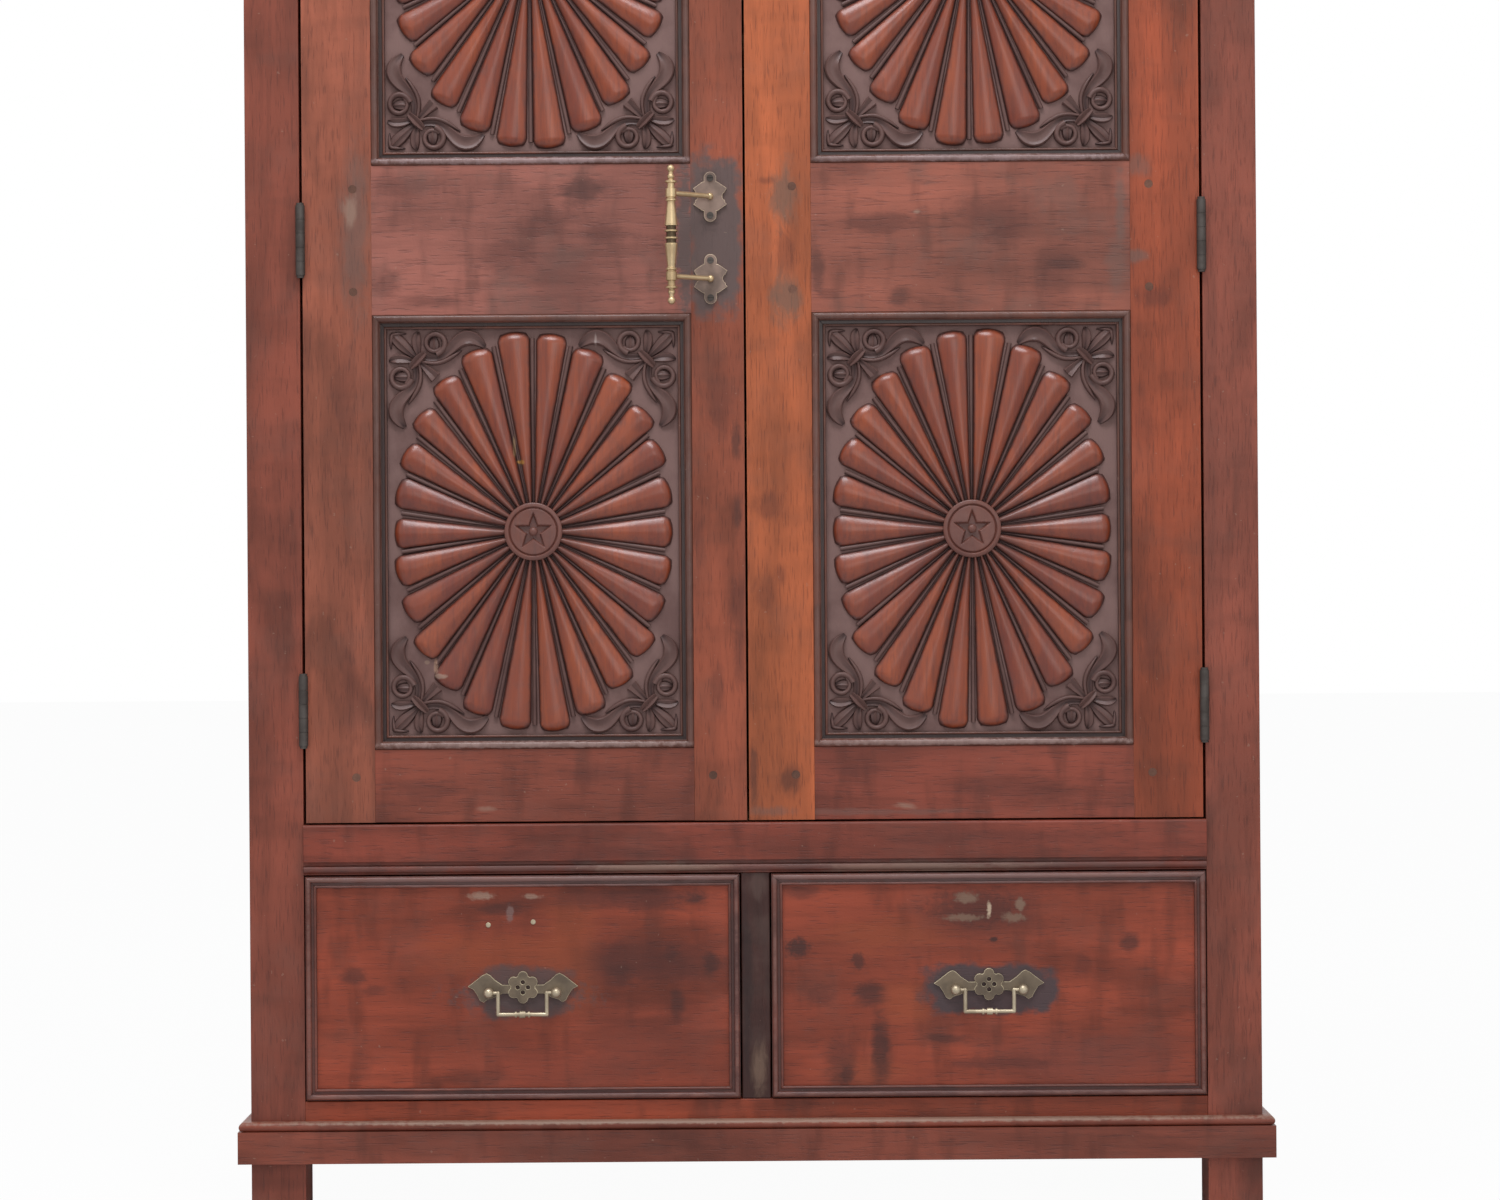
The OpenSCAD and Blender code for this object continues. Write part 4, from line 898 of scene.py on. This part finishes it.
for node, across, up in (("left_lower_panel", 1, 1), ("right_lower_panel", -1, 1),
                         ("left_upper_panel", -1, -1), ("right_upper_panel", 1, -1)):
    low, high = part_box(node)
    ground = high.y - GROUND_DEPTH * MM
    middle = ((low.x + high.x) / 2, ground, (low.z + high.z) / 2)
    petals = copy_of(rosette)
    petals.scale = (across, 1, up)
    petals.location = middle
    settle(petals)
    face_outwards(petals)
    centre = copy_of(hub)
    centre.location = middle
    relief = join("relief", [petals, settle(centre)])
    grain = bpy.data.textures.new(node + "_hand", "CLOUDS")
    grain.noise_scale = 0.02
    modify(relief, "DISPLACE", texture=grain, strength=HAND_H * MM, mid_level=0.5, direction="Y",
           texture_coords="LOCAL")
    panel = join(node + "_carved", [ground_board(low, high, ground), relief])
    smooth(panel, 50)
    side = node.split("_")[0]
    stand_for(panel, node, finishes[side + "_carving"])
bpy.data.objects.remove(rosette)
bpy.data.objects.remove(hub)


# Small brass on the left drawer: two nail heads

drawer_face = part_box("left_drawer_front")[0].y
for name, (x, z) in NAIL_PLACES.items():
    clear_selection()
    bpy.ops.mesh.primitive_cylinder_add(vertices=20, radius=NAIL_R * MM, depth=NAIL_H * MM,
                                        rotation=(math.pi / 2, 0, 0), location=(x * MM, drawer_face, z * MM))
    head = settle(bpy.context.object)
    modify(head, "BEVEL", width=0.6 * MM, segments=3, limit_method="ANGLE", angle_limit=SHARP_EDGE)
    smooth(head, 50)
    head.name = name
    paint(head, finishes["handle_brass"])
    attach(head, "left_drawer")


# Nodes that stay as they are

KEPT = {
    "iron": ["door_pull_screws", "hinge_post_leaves", "hinge_pins", "left_hinge_door_leaves",
             "right_hinge_door_leaves"],
    "pull_brass": ["door_pull_bar"],
    "handle_brass": ["left_handle_posts", "left_handle_bail", "right_handle_posts", "right_handle_bail"],
    "pegs": ["left_pegs", "right_pegs"],
    "sides": ["side_panels"],
    "back": ["back_rails", "back_boards"],
    "inside": ["cupboard_floor", "shelf_cleats", "drawer_runners", "left_drawer_sides_and_back",
               "left_drawer_bottom", "right_drawer_sides_and_back", "right_drawer_bottom"],
}
for finish, nodes in KEPT.items():
    for node in nodes:
        paint(frame["nodes"][node], finishes[finish])


# Floor, light and camera

def floor_finish():
    f = Finish("pale_floor")
    cloud = f.noise(f.place, 1.5, 2)
    colour = f.mix(cloud, (0.86, 0.86, 0.86, 1), (0.9, 0.9, 0.9, 1))
    plain = f.add("ShaderNodeBsdfDiffuse", {}, {"Color": colour})
    glow = f.add("ShaderNodeEmission", {}, {"Color": (1, 1, 1, 1), "Strength": 1.0})
    seen = f.add("ShaderNodeLightPath", output="Is Camera Ray")
    f.add_output(f.add("ShaderNodeMixShader", {}, {0: seen * 0.96, 1: plain, 2: glow}))
    return f.material


clear_selection()
bpy.ops.mesh.primitive_plane_add(size=FLOOR_W, location=(0, 0, 0))
floor = bpy.context.object
floor.name = "floor"
paint(floor, floor_finish())
floor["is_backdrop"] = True


def soft_light(name, place, towards, size, power, colour):
    clear_selection()
    bpy.ops.object.light_add(type="AREA", location=place)
    lamp = bpy.context.object
    lamp.name = name
    lamp.data.shape = "RECTANGLE"
    lamp.data.size, lamp.data.size_y = size
    lamp.data.energy = power
    lamp.data.color = colour
    lamp.rotation_euler = (Vector(towards) - Vector(place)).to_track_quat("-Z", "Y").to_euler()


soft_light("overhead_light", (-0.3, -1.7, 3.7), (0, 0, 0.7), (2.2, 0.9), 76, (0.93, 0.95, 1.0))
soft_light("front_fill", (1.2, -5.0, 1.8), (0, 0, 0.7), (3.0, 2.4), 28, (1.0, 0.98, 0.96))

world = bpy.data.worlds.new("studio")
bpy.context.scene.world = world
world.use_nodes = True
sky = world.node_tree
sky.nodes.clear()
path = sky.nodes.new("ShaderNodeLightPath")
mirrored = sky.nodes.new("ShaderNodeMath")
mirrored.operation = "MAXIMUM"
sky.links.new(path.outputs["Is Glossy Ray"], mirrored.inputs[0])
sky.links.new(path.outputs["Is Transmission Ray"], mirrored.inputs[1])
seen = sky.nodes.new("ShaderNodeMath")
seen.operation = "MAXIMUM"
sky.links.new(path.outputs["Is Camera Ray"], seen.inputs[0])
sky.links.new(mirrored.outputs[0], seen.inputs[1])
soft = sky.nodes.new("ShaderNodeBackground")
soft.inputs["Color"].default_value = SKY_COLOUR
soft.inputs["Strength"].default_value = SKY_STRENGTH
white = sky.nodes.new("ShaderNodeBackground")
white.inputs["Color"].default_value = (1, 1, 1, 1)
blend = sky.nodes.new("ShaderNodeMixShader")
end = sky.nodes.new("ShaderNodeOutputWorld")
sky.links.new(seen.outputs[0], blend.inputs[0])
sky.links.new(soft.outputs[0], blend.inputs[1])
sky.links.new(white.outputs[0], blend.inputs[2])
sky.links.new(blend.outputs[0], end.inputs["Surface"])

clear_selection()
bpy.ops.object.camera_add(location=(CAMERA_X, CAMERA_Y, CAMERA_Z), rotation=(math.pi / 2, CAMERA_LEAN, 0))
camera = bpy.context.object
camera.data.lens = LENS
camera.data.sensor_width = SENSOR
bpy.context.scene.camera = camera
bpy.context.scene.view_settings.view_transform = "Standard"

low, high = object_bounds()
